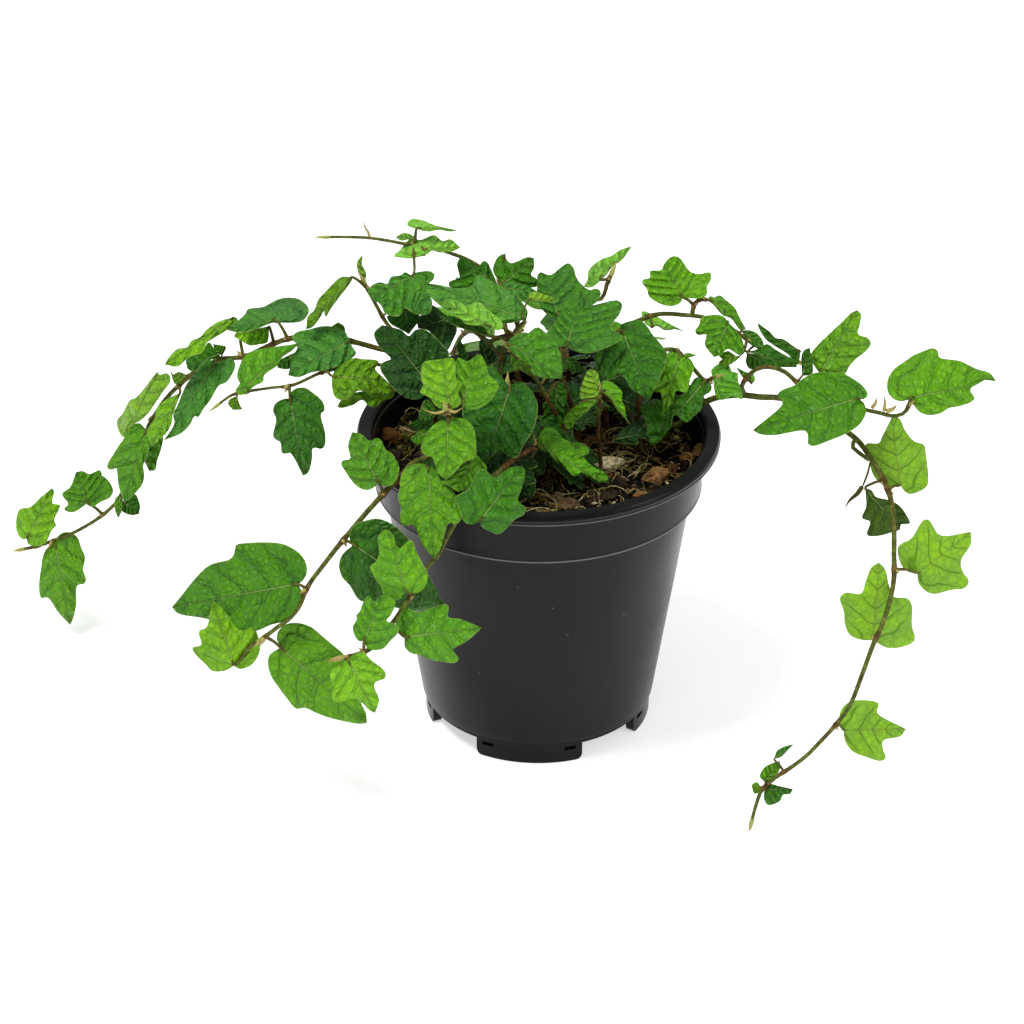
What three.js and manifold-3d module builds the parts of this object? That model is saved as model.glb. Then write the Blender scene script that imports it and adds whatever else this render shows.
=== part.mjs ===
import * as THREE from 'three';
import Module from 'manifold-3d';
import { mergeVertices } from 'three/addons/utils/BufferGeometryUtils.js';

// Oak leaf creeping fig in a black 9 cm nursery pot. Millimetres, +Z up, the front toward -Y.
// The pot's axis is the Z axis while the parts are made, and the rim is 78.3 above its zero. At the
// end everything moves together so that the plant's footprint is centred on the origin and the feet
// stand at height 0.

// Driving dimensions
const rimTop = 78.3;
const lipRadius = 44.9;
const collarBottom = 63.2;
const collarRadius = 40.4;
const mouthRadius = 41.6;
const bodyTopRadius = 38.3;
const bodyBottomRadius = 29.7;
const floorRadius = 29;
const floorBottom = 2.6;
const floorThickness = 1.1;
const wallThickness = 1.1;
const footBottom = -2.3;
const footCount = 4;
const footSpan = THREE.MathUtils.degToRad(55);
const frontFootTurn = THREE.MathUtils.degToRad(-95);
const footWidth = 2.3;
const drainSlot = { width: 3, height: 1, bottom: 1.1, turn: THREE.MathUtils.degToRad(21) };
const potSegments = 40;

const soilLevel = 70;
const soilGap = 0.5;
const soilSegments = 24;
const holeBottom = 62;
const holeClearance = 0.6;

const leafColours = [0x3f8a1f, 0x5aa51e, 0x2f6b3a, 0x7fc02c];
const bladeThickness = 0.7;
const bladeArch = 0.06;
const bladeFold = 0.15;
const leastBend = 0.45;
const shortestEdge = 0.02;
const stemSides = 5;
const stemStep = 6.5;
const petioleSides = 3;
const petioleRadius = 0.5;
const petioleEnd = 0.3;
const petioleArch = 0.08;
const endMargin = 1.2;
const petioleSunk = 1.3;
const twigRadius = 0.5;

// The view of the photograph. Leaf edges and stems are written as points of its picture, and a
// sight line from the eye through each point places it in space.
const viewTilt = THREE.MathUtils.degToRad(30);
const viewDistance = 751;
const viewFocal = 3000;
const pictureCentre = 512;
const viewTarget = new THREE.Vector3(-6.6, 0, 54);
const viewForward = new THREE.Vector3(0, Math.cos(viewTilt), -Math.sin(viewTilt));
const viewUp = new THREE.Vector3(0, Math.sin(viewTilt), Math.cos(viewTilt));
const eye = viewTarget.clone().addScaledVector(viewForward, -viewDistance);

// A leaf's edge starts where the petiole joins and runs once around, like the points of an SVG
// polygon. depth is the world Y of that first point, faces holds the azimuth and elevation in
// degrees of the upper side (azimuth 0 looks to -Y, positive turns to +X), and tip counts to the
// point at the leaf's end.
function leaf(depth, azimuth, elevation, tip, edge) {
  return { depth, faces: [azimuth, elevation], tip, edge };
}

// A path holds picture x, picture y and depth of each point, from the soil outward.
const stems = [
  {
    name: 'left_trailing_stem',
    root: [-22, 12],
    radius: [0.75, 0.45],
    path: `430,362,6 405,352,10 385,350,12 350,341,13 320,337,14 292,338,15 268,346,16 246,356,17
      220,360,19 200,368,20 185,380,21.5 165,400,24 150,425,27 138,460,29 127,490,31 118,501,31.5
      100,517,32 75,532,33 55,540,34 38,546,35 24,549,36`,
    leaves: [
      leaf(34, -15, 40, 8, `27,538 22,539 17,532 16,521 19,510 23,508 30,507 41,497 52,488 54,492 52,503
        60,505 58,511 54,520 56,525 51,531 46,542 38,546 28,544`),
      leaf(33, -10, 5, 10, `55,544 48,547 43,556 41,568 39,584 40,596 42,599 46,597 50,600 58,612 70,625
        72,621 76,605 76,590 78,585 84,584 86,580 83,570 85,557 81,548 77,537 67,532 58,536`),
      leaf(31.5, -15, 50, 8, `87,503 81,506 76,511 69,512 64,509 68,504 62,494 70,487 76,472 83,471
        89,474 100,470 102,475 108,480 113,490 110,497 100,502 92,507`),
      leaf(29, 10, 40, 3, `122,501 121,510 131,515 139,514 140,505 135,494 130,498`),
      leaf(28.5, -20, 30, 3, `120,494 115,499 115,510 118,518 121,512 122,503`),
      leaf(21, -25, 30, 10, `146,430 139,423 129,428 124,438 119,445 114,453 107,466 109,470 115,466
        119,488 124,502 133,495 142,484 144,475 143,466 147,455 150,440`),
      leaf(25, -10, 25, 3, `160,428 150,440 143,455 149,471 155,470 157,461 161,449 163,438`),
      leaf(25, -40, 12, 9, `127,434 124,438 118,430 117,420 122,414 130,400 135,398 142,391 151,379
        157,372 160,377 166,373 170,377 169,383 163,391 158,399 153,406 149,412 141,420 133,425`),
      leaf(19, -35, 35, 6, `180,393 169,398 160,404 156,410 155,418 147,432 151,446 161,438 168,430
        172,420 172,415 174,410 177,402`),
      leaf(15, -25, 42, 8, `214,364 209,359 203,362 194,374 186,385 177,406 173,414 174,424 164,440
        181,433 190,424 194,416 198,417 203,409 210,400 219,385 225,383 234,370 235,363 231,358 222,361`),
      leaf(22, -30, 72, 8, `235,317 237,321 226,330 213,338 207,342 202,352 190,356 177,366 165,364
        169,357 177,349 187,347 191,341 200,337 206,330 214,324 222,320`),
      leaf(15, 0, 80, 5, `277,321 270,323 260,327 251,330 238,332 226,329 236,322 245,314 248,309
        253,308 263,307 272,302 282,298 296,298 305,303 309,309 308,314 303,320 296,322 286,321`),
      leaf(9, -10, 48, 9, `349,341 346,333 339,328 324,326 310,329 295,333 292,339 298,346 294,354
        288,375 298,377 312,372 325,370 339,365 350,359 356,353 352,347`),
      leaf(12, 0, 40, 3, `298,351 285,357 276,362 278,368 288,369 298,362`),
      leaf(12, 0, 40, 2, `341,335 331,328 338,322 344,326 345,333`),
      leaf(20, 0, 65, 4, `269,326 260,328 247,331 237,332 234,336 242,341 250,345 259,344 267,342`),
      leaf(18, -10, 50, 6, `220,358 214,349 209,342 203,349 190,355 186,360 187,368 191,371 197,369
        206,361`),
      leaf(20, 0, 30, 2, `222,356 215,352 213,344 220,345 226,347`),
      leaf(21, 0, 20, 3, `187,375 178,372 172,375 170,370 175,384 181,383`),
    ],
  },
  {
    name: 'left_low_stem',
    root: [-25, 2],
    radius: [0.6, 0.35],
    path: `425,378,4 400,370,9 375,364,10 350,362,9 335,369,7 320,373,5 305,380,3 293,385,2 270,388,2
      250,391,2 232,395,2 219,404,2`,
    leaves: [
      leaf(2, 0, 30, 3, `237,396 230,399 228,404 233,410 242,409 240,405`),
      leaf(0, 8, 42, 8, `332,376 335,370 341,365 353,358 363,359 376,360 379,362 375,368 386,380 393,389
        390,393 376,393 357,391 352,397 341,400 335,397 332,387`),
      leaf(1, 0, 30, 8, `395,391 393,397 381,402 376,407 369,406 362,400 353,405 341,408 337,407 341,400
        350,394 375,390`),
      leaf(-1, -5, 5, 12, `290,399 284,399 275,404 273,411 276,419 273,436 276,440 280,442 282,453
        285,454 290,453 295,460 303,476 308,473 312,459 313,448 322,449 325,445 325,433 321,414 325,410
        322,401 314,394 305,388 295,389 290,394`),
      leaf(0, -18, 50, 7, `248,392 241,395 235,391 240,383 237,378 239,367 247,354 299,343 292,350
        282,357 276,366 264,375 263,381 254,386`),
    ],
  },
  {
    name: 'front_left_stem',
    root: [-15, -7],
    radius: [0.85, 0.5],
    path: `440,450,-19 425,458,-23 412,464,-26 402,475,-30 390,487,-33 375,503,-36 360,520,-38
      345,538,-40 335,550,-42 322,567,-44 312,580,-45 305,592,-47 300,605,-48 290,618,-49 275,629,-50
      261,640,-50`,
    leaves: [
      leaf(-39.3, -18, 20, 12, `428,467 423,464 415,464 406,468 401,476 400,487 398,498 401,508 400,521
        403,526 413,525 422,544 434,559 440,549 449,523 456,524 461,519 458,500 449,486 440,480 437,472
        433,467`),
      leaf(-35, -30, 40, 10, `378,482 374,487 366,490 358,487 351,480 345,471 341,464 343,460 350,459
        348,446 352,432 361,434 370,441 376,438 381,440 385,449 391,453 396,460 399,468 397,478 391,485
        384,486`),
      leaf(-42, 10, 5, 7, `354,545 350,541 350,534 355,525 365,521 379,519 402,532 445,606 410,611
        393,607 370,603 359,600 350,586 342,577 339,565 343,554`),
      leaf(-46, -25, 30, 12, `297,584 301,582 306,575 306,564 300,554 288,546 279,543 245,543 236,545
        234,554 230,559 208,566 172,607 177,613 207,619 242,631 256,631 270,625 284,621 296,612 301,601
        301,590`),
      leaf(-50, -10, 15, 9, `234,666 224,671 212,671 206,665 196,655 192,648 201,645 199,631 206,628
        212,601 219,606 228,616 234,625 243,631 253,627 257,634 260,649 257,658 250,666 240,669`),
      leaf(-49, 10, 15, 13, `281,648 275,651 269,656 268,665 271,676 279,688 288,700 296,709 305,708
        316,713 330,718 347,722 360,724 367,723 366,713 362,705 357,688 352,672 344,655 334,646 322,636
        311,627 297,623 285,625 278,632 277,640`),
    ],
  },
  {
    name: 'front_stem',
    root: [2, -8],
    radius: [0.8, 0.5],
    path: `541,440,-12 535,447,-16 526,452,-20 515,458,-25 505,466,-30 494,476,-34 483,489,-39
      470,502,-43 460,515,-44 452,528,-43.5 445,541,-43 438,555,-43.5 425,570,-45 413,592,-47
      400,612,-49 386,632,-50 372,648,-51 355,655,-53 343,658,-54`,
    leaves: [
      leaf(-17, 10, 55, 14, `538,447 539,437 542,430 549,427 556,430 564,439 573,442 583,444 589,449
        587,455 583,455 592,466 602,471 608,477 607,482 599,482 589,477 581,472 577,476 572,475 566,468
        558,463 549,454 545,451`),
      leaf(-51, 5, 38, 13, `480,521 473,524 466,523 462,518 460,508 456,496 462,493 470,487 475,476
        482,469 489,473 494,478 509,468 522,466 525,470 524,480 521,490 518,501 526,508 524,514 514,520
        507,528 498,534 490,531 482,527`),
      leaf(-49, -10, 10, 15, `406,592 400,599 391,600 383,594 381,586 377,582 373,574 370,568 371,565
        376,562 379,550 378,537 382,532 385,530 387,530 388,530 393,536 397,547 401,549 408,541 412,541
        416,551 422,563 427,572 427,581 424,588 417,593`),
      leaf(-52, -15, 15, 11, `364,641 359,641 354,634 353,626 357,619 356,616 360,611 362,605 366,598
        369,596 373,602 383,594 388,597 395,602 394,608 390,616 386,621 394,624 399,628 397,634 390,641
        384,648 377,650 368,649`),
      leaf(-51, 10, 20, 12, `405,637 400,635 396,625 397,613 401,608 406,607 417,612 432,608 445,604
        449,607 448,617 460,619 482,628 467,641 453,650 458,657 458,661 453,663 444,662 428,659 420,655
        411,653 405,647`),
      leaf(-55, -5, 20, 9, `348,660 350,657 362,652 371,660 385,672 385,678 376,682 374,686 379,700
        375,713 369,710 362,703 353,698 342,702 335,702 332,698 333,687 330,675 336,666`),
    ],
  },
  {
    name: 'front_cluster_stem',
    root: [-19, -14],
    radius: [0.7, 0.5],
    path: `461,452,-20 458,434,-26 455,421,-32 447,414,-36 446,409,-37`,
    leaves: [
      leaf(-37, -10, 38, 9, `450,409 442,409 435,405 430,398 420,392 423,386 421,377 423,363 427,361
        442,359 449,358 454,359 456,372 456,379 462,383 458,393 461,401 457,407`),
      leaf(-35, 10, 38, 7, `463,402 458,393 460,385 455,376 454,368 458,358 468,361 477,354 481,355
        486,364 489,375 499,384 494,396 485,405 475,409 466,408`),
      leaf(-37, -12, 35, 9, `448,421 442,420 436,423 428,431 423,441 421,450 426,456 432,457 438,473
        446,480 455,472 463,463 475,457 476,447 475,435 472,425 464,419 455,418`),
      leaf(-40.5, 0, 35, 6, `470,462 464,463 456,472 450,479 440,481 449,486 458,492 470,487 474,478
        486,471 487,467 481,460 476,455`),
      leaf(-29, 0, 30, 4, `438,412 430,401 425,400 420,410 418,418 422,420 433,418`),
      leaf(-27, 0, 30, 4, `429,431 422,430 416,434 412,437 411,440 418,445 424,441`),
    ],
  },
  {
    name: 'centre_dark_leaf_stem',
    root: [-2, -16],
    radius: [0.6, 0.5],
    path: `507,400,-18 506,392,-16.5 507,386,-15.5`,
    leaves: [
      leaf(-18, -8, 40, 11, `510,388 500,374 494,368 488,366 481,372 471,390 463,405 463,417 468,428
        476,446 478,455 485,464 500,449 505,453 512,458 518,456 523,446 532,432 537,416 537,402 532,392
        521,382 514,383`),
    ],
  },
  {
    name: 'centre_stem',
    root: [8, -3],
    radius: [0.6, 0.45],
    path: `535,378,-8 527,368,-10 516,356,-12 508,347,-14`,
    leaves: [
      leaf(-16, 8, 45, 11, `507,343 511,338 524,332 530,334 534,338 532,331 537,327 544,331 550,337
        558,347 562,362 562,378 554,378 541,377 531,371 533,367 528,363 518,357 511,351`),
      leaf(-11, 0, 30, 4, `511,351 511,361 516,371 520,369 531,375 531,367 528,363 518,357`),
      leaf(0, 0, 30, 3, `563,358 572,357 580,364 584,372 573,372 566,367`),
      leaf(-3, 0, 12, 6, `557,382 551,392 549,400 543,405 545,413 541,421 555,428 564,423 564,406
        567,399 566,390 562,383`),
    ],
  },
  {
    name: 'left_dark_stem',
    root: [-12, 0],
    radius: [0.7, 0.5],
    path: `466,408,-4 452,398,-5 440,390,-6 432,386,-7`,
    leaves: [
      leaf(-7, -18, 35, 11, `430,386 421,398 410,399 396,391 386,379 380,368 383,362 391,359 384,352
        377,343 374,333 382,325 391,327 401,330 409,336 415,330 423,329 432,334 443,345 449,353 445,368
        438,379`),
    ],
  },
  {
    name: 'left_upright_stem',
    root: [-17, 16],
    radius: [0.6, 0.45],
    path: `430,362,12 410,345,14 388,325,15 375,303,16 368,290,16 365,284,16`,
    leaves: [
      leaf(14, -30, 40, 6, `351,277 341,277 327,290 318,300 314,310 308,316 306,329 312,327 320,317
        324,310 325,317 331,308 339,297 352,279`),
      leaf(16, 0, 20, 3, `365,283 359,275 357,262 363,255 362,264 366,273`),
      leaf(11.4, -5, 50, 4, `405,308 420,316 415,326 411,331 409,334 400,329 390,323 387,316 396,314`),
    ],
  },
  {
    name: 'top_stem',
    root: [-3, 16],
    radius: [0.7, 0.35],
    path: `506,330,16 501,305,20 492,278,24 480,267,25.5 466,259,25.5 450,253,23 430,247,21 405,244,20
      390,241,20 370,238,20 350,237,20 328,237,20`,
    leaves: [
      leaf(19, 0, 70, 6, `417,228 409,226 407,224 411,219 422,220 435,225 456,230 450,231 440,229
        429,231 422,230`),
      leaf(17, 0, 65, 12, `424,250 417,255 410,258 401,257 393,256 400,250 407,241 413,238 420,240
        434,235 443,241 450,239 460,247 455,250 440,252 432,250 428,253`),
      leaf(21, 0, 65, 3, `416,238 410,234 403,233 396,237 401,240 408,239`),
      leaf(12, -15, 52, 9, `414,273 410,275 405,272 401,275 391,277 387,284 380,282 371,286 368,292
        371,299 380,304 385,313 394,316 400,315 404,308 414,313 424,315 430,313 432,300 426,290 429,283
        435,277 433,272 424,271`),
    ],
  },
  {
    name: 'crown_middle_stem',
    root: [-8, 6],
    radius: [0.75, 0.5],
    path: `500,380,2 500,362,0 505,346,-2 512,337,-3 518,331,-3`,
    leaves: [
      leaf(-4, 0, 60, 11, `526,319 528,312 522,302 515,294 499,285 485,277 477,276 473,284 467,288
        455,288 440,285 425,283 426,291 435,301 447,310 470,316 490,322 508,323`),
      leaf(-9, 0, 60, 10, `489,326 498,330 503,327 501,320 492,313 484,306 477,301 468,305 457,301
        449,299 443,301 446,305 452,309 446,312 458,315 465,323 475,325`),
      leaf(-5, 0, 55, 4, `488,336 484,327 470,323 450,316 440,317 449,322 459,327 475,332`),
      leaf(6, 0, 20, 3, `488,366 481,355 479,343 481,339 487,338 494,346 496,357`),
      leaf(4, 0, 20, 2, `503,370 497,357 497,345 502,346 507,358`),
      leaf(6, 0, 20, 3, `463,364 458,352 457,344 460,339 464,347 469,358`),
      leaf(8, 0, 45, 5, `450,318 440,311 432,305 422,314 417,320 418,328 429,331 437,343 446,351 453,340
        457,328`),
      leaf(-3, 10, 60, 4, `529,300 528,296 529,293 537,292 557,299 551,301 541,301`),
    ],
  },
  {
    name: 'crown_back_stem',
    root: [0, 22],
    radius: [0.7, 0.5],
    path: `515,318,17 508,298,17 502,288,16`,
    leaves: [
      leaf(15.5, -10, 50, 7, `498,286 491,269 487,262 483,261 478,267 471,261 466,258 460,257 457,264
        459,279 450,281 449,286 470,291`),
      leaf(14, 10, 50, 7, `502,285 493,270 498,257 504,254 507,260 511,263 528,257 534,258 534,268
        531,275 537,279 537,286 528,287 509,282`),
      leaf(8, 5, 60, 4, `500,287 505,282 516,283 528,286 538,292 530,297 522,300 510,294`),
    ],
  },
  {
    name: 'crown_right_stem',
    root: [10, 8],
    radius: [0.75, 0.5],
    path: `560,372,2 562,355,0 564,338,2 562,324,5 566,310,9 578,303,12 590,300,14 601,299,15 605,292,15
      607,284,15 611,275,16`,
    leaves: [
      leaf(3, 5, 55, 5, `560,318 547,314 538,302 537,286 538,274 541,272 550,275 560,268 568,263 573,267
        578,280 590,290 597,288 601,292 599,299 594,304 584,309`),
      leaf(-9, 10, 55, 8, `567,345 556,346 549,340 546,334 554,324 559,316 565,305 573,301 579,305
        587,309 604,303 617,300 622,304 620,313 611,326 613,330 620,334 622,338 616,343 597,351 587,353
        576,351`),
      leaf(15, 20, 50, 9, `601,280 592,287 584,286 588,279 588,272 592,266 604,258 611,256 620,250
        632,246 622,260 613,266 607,274`),
    ],
  },
  {
    name: 'inner_right_stem',
    root: [24, 2],
    radius: [0.75, 0.5],
    path: `640,395,1 648,372,2 660,352,4 674,350,6 688,362,6 700,376,4 706,381,3 713,378,2`,
    leaves: [
      leaf(1, 0, 45, 10, `622,330 620,327 622,324 630,321 640,320 647,326 653,335 660,343 667,353
        667,359 650,399 641,395 631,388 624,377 617,374 610,380 603,377 597,367 594,357 597,351 613,344`),
      leaf(4, 0, 40, 8, `680,355 672,351 667,354 664,362 657,364 654,372 655,392 660,392 662,415 673,401
        676,391 687,392 690,380 694,366 689,358`),
      leaf(5, 0, 60, 3, `682,356 686,353 690,353 696,355 690,357`),
      leaf(1, -5, 35, 9, `705,381 698,377 694,379 686,392 672,398 660,402 645,404 641,410 644,416
        650,446 660,440 671,426 674,415 681,419 687,422 695,415 701,409 704,396 711,391 711,384`),
      leaf(1, 10, 30, 4, `713,377 714,386 715,393 718,399 723,400 730,397 736,391 742,400 742,391
        738,380 738,373 731,371 730,366 722,363 715,366 711,371`),
    ],
  },
  {
    name: 'inner_small_stem',
    root: [15, -10],
    radius: [0.55, 0.4],
    path: `598,424,-13 600,408,-14 600,397,-14`,
    leaves: [
      leaf(-15, -10, 35, 6, `600,397 590,396 581,399 580,390 583,381 587,372 591,369 597,372 600,382
        603,391`),
      leaf(-15, -20, 30, 5, `599,397 591,400 579,404 568,412 564,419 566,429 570,429 575,422 585,413
        596,402`),
      leaf(-15, 20, 35, 7, `601,391 603,381 611,382 622,392 622,401 625,407 626,415 630,424 624,417
        615,406 610,398`),
    ],
  },
  {
    name: 'right_upper_stem',
    root: [17, 13],
    radius: [0.75, 0.45],
    path: `600,360,12 608,344,14 620,330,15 645,318,14 660,314,14 685,315,13 702,317,12 725,325,11
      742,336,10 757,346,10 778,357,11 797,362,11`,
    twigs: [
      `686,313,13 694,305,14 701,299,15 707,300,15`,
    ],
    leaves: [
      leaf(11, 0, 50, 4, `652,328 646,324 642,317 642,311 684,331 676,329 665,330 657,326`),
      leaf(13, 5, 40, 11, `682,297 681,302 671,306 659,303 649,296 647,289 642,282 644,279 650,278
        650,271 661,270 664,264 669,258 675,256 681,259 685,265 691,272 700,274 710,272 711,279 707,287
        707,294 702,298 690,298`),
      leaf(15, 20, 50, 7, `708,300 710,296 716,298 719,295 726,300 735,308 739,316 746,329 741,330
        731,318 723,315 714,305`),
      leaf(11, 10, 45, 4, `742,331 747,330 755,332 762,339 764,345 756,347 749,343`),
      leaf(7, -5, 35, 9, `728,322 723,316 710,315 701,318 699,325 695,331 698,335 706,334 705,345
        714,357 720,355 728,349 734,352 739,355 744,351 742,339 736,330`),
      leaf(4, 0, 25, 6, `744,352 737,356 728,351 719,356 722,359 720,361 718,363 726,366 737,360`),
      leaf(7, 0, 50, 6, `745,351 755,350 767,344 775,349 785,355 794,360 797,367 786,367 770,366 761,357
        753,353`),
      leaf(10, 0, 12, 4, `747,353 757,355 765,360 768,363 770,367 760,368 750,369 746,363`),
      leaf(9.5, 10, 65, 10, `800,351 800,357 797,365 788,354 777,347 771,343 766,339 761,332 759,328
        758,325 758,323 762,326 769,331 776,338 783,339 792,345`),
    ],
  },
  {
    name: 'right_trailing_stem',
    root: [28, 8],
    radius: [0.85, 0.45],
    path: `678,425,9 690,412,8.5 700,405,8 715,398,7.5 740,395,6 760,397,4 780,398,2 800,404,0
      825,418,-3 850,434,-7 860,443,-9 870,457,-12 880,473,-14 888,490,-16 892,505,-18 894,530,-22
      894,555,-26 894,578,-30 890,600,-34 882,625,-38 873,645,-41 862,675,-45 850,705,-48 838,722,-50
      820,742,-52 805,757,-53.5 790,768,-54.5 775,778,-55.3 762,790,-55.3 756,805,-55.5 752,820,-56.5`,
    twigs: [
      `738,395,6 742,386,4 748,376,3 757,369,2 770,367,0 785,372,-1 800,385,-3 822,397,-5 845,405,-8
        866,410,-9 880,413,-9 893,416,-8 904,413,-8 911,401,-8`,
      `842,440,-6 852,446,-7 862,455,-9 869,460,-10`,
    ],
    leaves: [
      leaf(3, 0, 30, 2, `752,384 744,379 736,367 746,372 753,374 755,380`),
      leaf(-1.4, 0, 30, 3, `802,376 802,354 806,349 810,348 811,356 813,367 812,374`),
      leaf(0, 10, 42, 7, `820,373 812,362 810,356 815,348 831,332 842,322 851,313 857,310 861,314
        860,324 858,334 868,338 871,343 867,350 855,360 849,367 845,374 833,374`),
      leaf(-11, 0, 45, 13, `859,398 864,399 868,395 863,386 852,378 842,373 828,372 814,373 802,379
        795,385 782,390 777,395 783,402 753,430 760,434 774,435 806,431 808,437 808,444 813,446 828,441
        845,434 859,425 866,413 865,405`),
      leaf(-8, 8, 45, 16, `910,398 903,401 896,400 889,394 887,385 889,376 895,368 904,362 912,356
        926,350 933,348 938,351 939,357 960,361 977,369 990,373 996,381 987,379 980,383 970,390 975,398
        971,402 960,406 949,408 941,413 930,415 920,412 914,405`),
      leaf(-12, 5, 32, 9, `900,485 896,487 889,487 879,482 873,474 870,464 866,444 879,443 882,437
        892,417 899,418 905,430 914,441 924,445 926,455 928,484 924,489 909,494 903,489`),
      leaf(-14, 0, 10, 8, `865,488 872,491 876,497 888,500 897,504 904,511 910,524 902,523 900,530
        890,533 878,536 867,535 870,522 862,518 866,508 866,498`),
      leaf(-27, 10, 20, 9, `918,573 908,572 901,564 898,548 901,544 911,539 924,520 929,520 940,535
        971,532 971,544 961,561 963,572 969,581 965,588 951,590 933,594 923,589 918,581`),
      leaf(-32, 0, 5, 10, `873,640 862,640 850,635 845,624 844,612 840,598 846,593 861,594 866,581
        872,567 879,563 885,569 889,585 894,597 908,599 912,606 912,626 915,640 906,646 888,648 879,644`),
      leaf(-46, 15, 20, 7, `844,730 840,723 841,711 850,702 872,701 879,704 877,712 906,729 901,736
        883,741 883,749 886,758 881,761 866,757 852,751 845,740`),
      leaf(-52, 0, 40, 3, `774,759 777,751 783,747 794,744 788,750 781,757`),
      leaf(-54.5, 0, 35, 4, `765,782 760,777 763,769 770,764 780,761 780,769 772,780`),
      leaf(-55.5, 15, 30, 3, `765,790 769,784 779,786 793,789 790,794 783,795 780,801 768,805 764,798`),
      leaf(-55.3, 0, 30, 3, `761,787 757,782 752,785 754,794 761,792`),
    ],
  },
];

// The side that the photograph doesn't show. Its stems are written in millimetres from the pot's
// axis, and each leaf borrows the edge of a leaf above: at is where it joins, toward is the azimuth
// and elevation of its length.
function backLeaf(like, index, at, toward, faces, size) {
  return { like, index, at, toward, faces, size };
}

const backStems = [
  {
    name: 'back_left_stem',
    root: [-10, 24],
    radius: [0.8, 0.45],
    path: [
      [-12, 31, 83], [-15, 38, 84.5], [-18, 44, 82.5], [-21, 49.5, 76], [-23, 52, 66],
      [-24, 51, 55], [-25, 49, 45],
    ],
    leaves: [
      backLeaf('front_left_stem', 0, [-14, 35, 87], [205, 25], [170, 60], 0.8),
      backLeaf('front_stem', 2, [-18, 48, 83], [215, -5], [190, 55], 0.85),
      backLeaf('front_left_stem', 3, [-19, 53, 74], [150, -35], [185, 30], 0.75),
      backLeaf('front_cluster_stem', 2, [-26, 53, 68], [230, -30], [200, 35], 0.9),
      backLeaf('front_left_stem', 0, [-22, 54, 59], [160, -60], [178, 20], 0.85),
      backLeaf('front_stem', 3, [-27, 51, 50], [215, -50], [195, 25], 0.9),
      backLeaf('front_left_stem', 1, [-24.5, 50, 43], [185, -70], [185, 12], 0.8),
    ],
  },
  {
    name: 'back_middle_stem',
    root: [8, 27],
    radius: [0.75, 0.45],
    path: [[7, 32, 84], [6, 38, 86], [5, 44, 84], [5, 50, 77], [6, 53, 67], [6.5, 52.5, 58]],
    leaves: [
      backLeaf('front_stem', 1, [5, 36, 89], [150, 20], [185, 65], 0.8),
      backLeaf('front_left_stem', 1, [2, 47.5, 87.5], [200, -5], [180, 50], 0.8),
      backLeaf('front_stem', 2, [8, 53, 75], [140, -35], [175, 35], 0.9),
      backLeaf('front_left_stem', 2, [3, 54, 69], [210, -45], [190, 25], 0.62),
      backLeaf('front_cluster_stem', 0, [9, 55, 62], [150, -55], [172, 18], 0.95),
      backLeaf('front_left_stem', 0, [6, 54, 56], [190, -75], [185, 10], 0.8),
    ],
  },
  {
    name: 'back_right_stem',
    root: [20, 24],
    radius: [0.7, 0.45],
    path: [[19, 31, 81], [19, 38, 82.5], [20, 43.5, 81.5], [23, 47.5, 76], [27, 48.5, 68], [29, 47, 60]],
    leaves: [
      backLeaf('front_cluster_stem', 1, [17, 35, 85], [190, 20], [170, 65], 0.8),
      backLeaf('front_stem', 3, [24, 45, 80], [120, -15], [160, 50], 0.8),
      backLeaf('front_left_stem', 1, [21.5, 50, 75], [190, -40], [172, 30], 0.8),
      backLeaf('front_stem', 2, [30, 48.5, 69], [120, -40], [155, 30], 0.8),
      backLeaf('front_left_stem', 0, [28, 49, 60], [180, -65], [165, 15], 0.8),
    ],
  },
];

const wasm = await Module();
wasm.setup();

// Turns a closed geometry into a solid whose faces point out
function toSolid(geometry) {
  geometry.deleteAttribute('normal');
  geometry.deleteAttribute('uv');
  const merged = mergeVertices(geometry, 1e-4);
  const place = merged.getAttribute('position');
  const order = Array.from(merged.getIndex().array);
  const corners = [new THREE.Vector3(), new THREE.Vector3(), new THREE.Vector3()];
  const kept = [];
  let volume = 0;
  for (let i = 0; i < order.length; i += 3) {
    const [a, b, c] = order.slice(i, i + 3);
    if (a === b || b === c || c === a) continue;
    kept.push(a, b, c);
    [a, b, c].forEach((id, k) => corners[k].fromBufferAttribute(place, id));
    volume += corners[0].dot(corners[1].clone().cross(corners[2]));
  }
  if (volume < 0) kept.reverse();
  const mesh = new wasm.Mesh({
    numProp: 3,
    vertProperties: Float32Array.from(place.array),
    triVerts: Uint32Array.from(kept),
  });
  return new wasm.Manifold(mesh);
}

// A join leaves a few edges far shorter than anything real, which are merged here
function toMesh(name, solid, colour, roughness) {
  const data = solid.simplify(shortestEdge).getMesh();
  const geometry = new THREE.BufferGeometry();
  geometry.setAttribute('position', new THREE.BufferAttribute(data.vertProperties, 3));
  geometry.setIndex(new THREE.BufferAttribute(data.triVerts, 1));
  geometry.computeVertexNormals();
  const material = new THREE.MeshStandardMaterial({ color: colour, roughness, metalness: 0 });
  const mesh = new THREE.Mesh(geometry, material);
  mesh.name = name;
  return mesh;
}

function lathe(profile, segments) {
  const points = profile.map(([radius, height]) => new THREE.Vector2(radius, height));
  return new THREE.LatheGeometry(points, segments).rotateX(Math.PI / 2);
}

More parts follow.
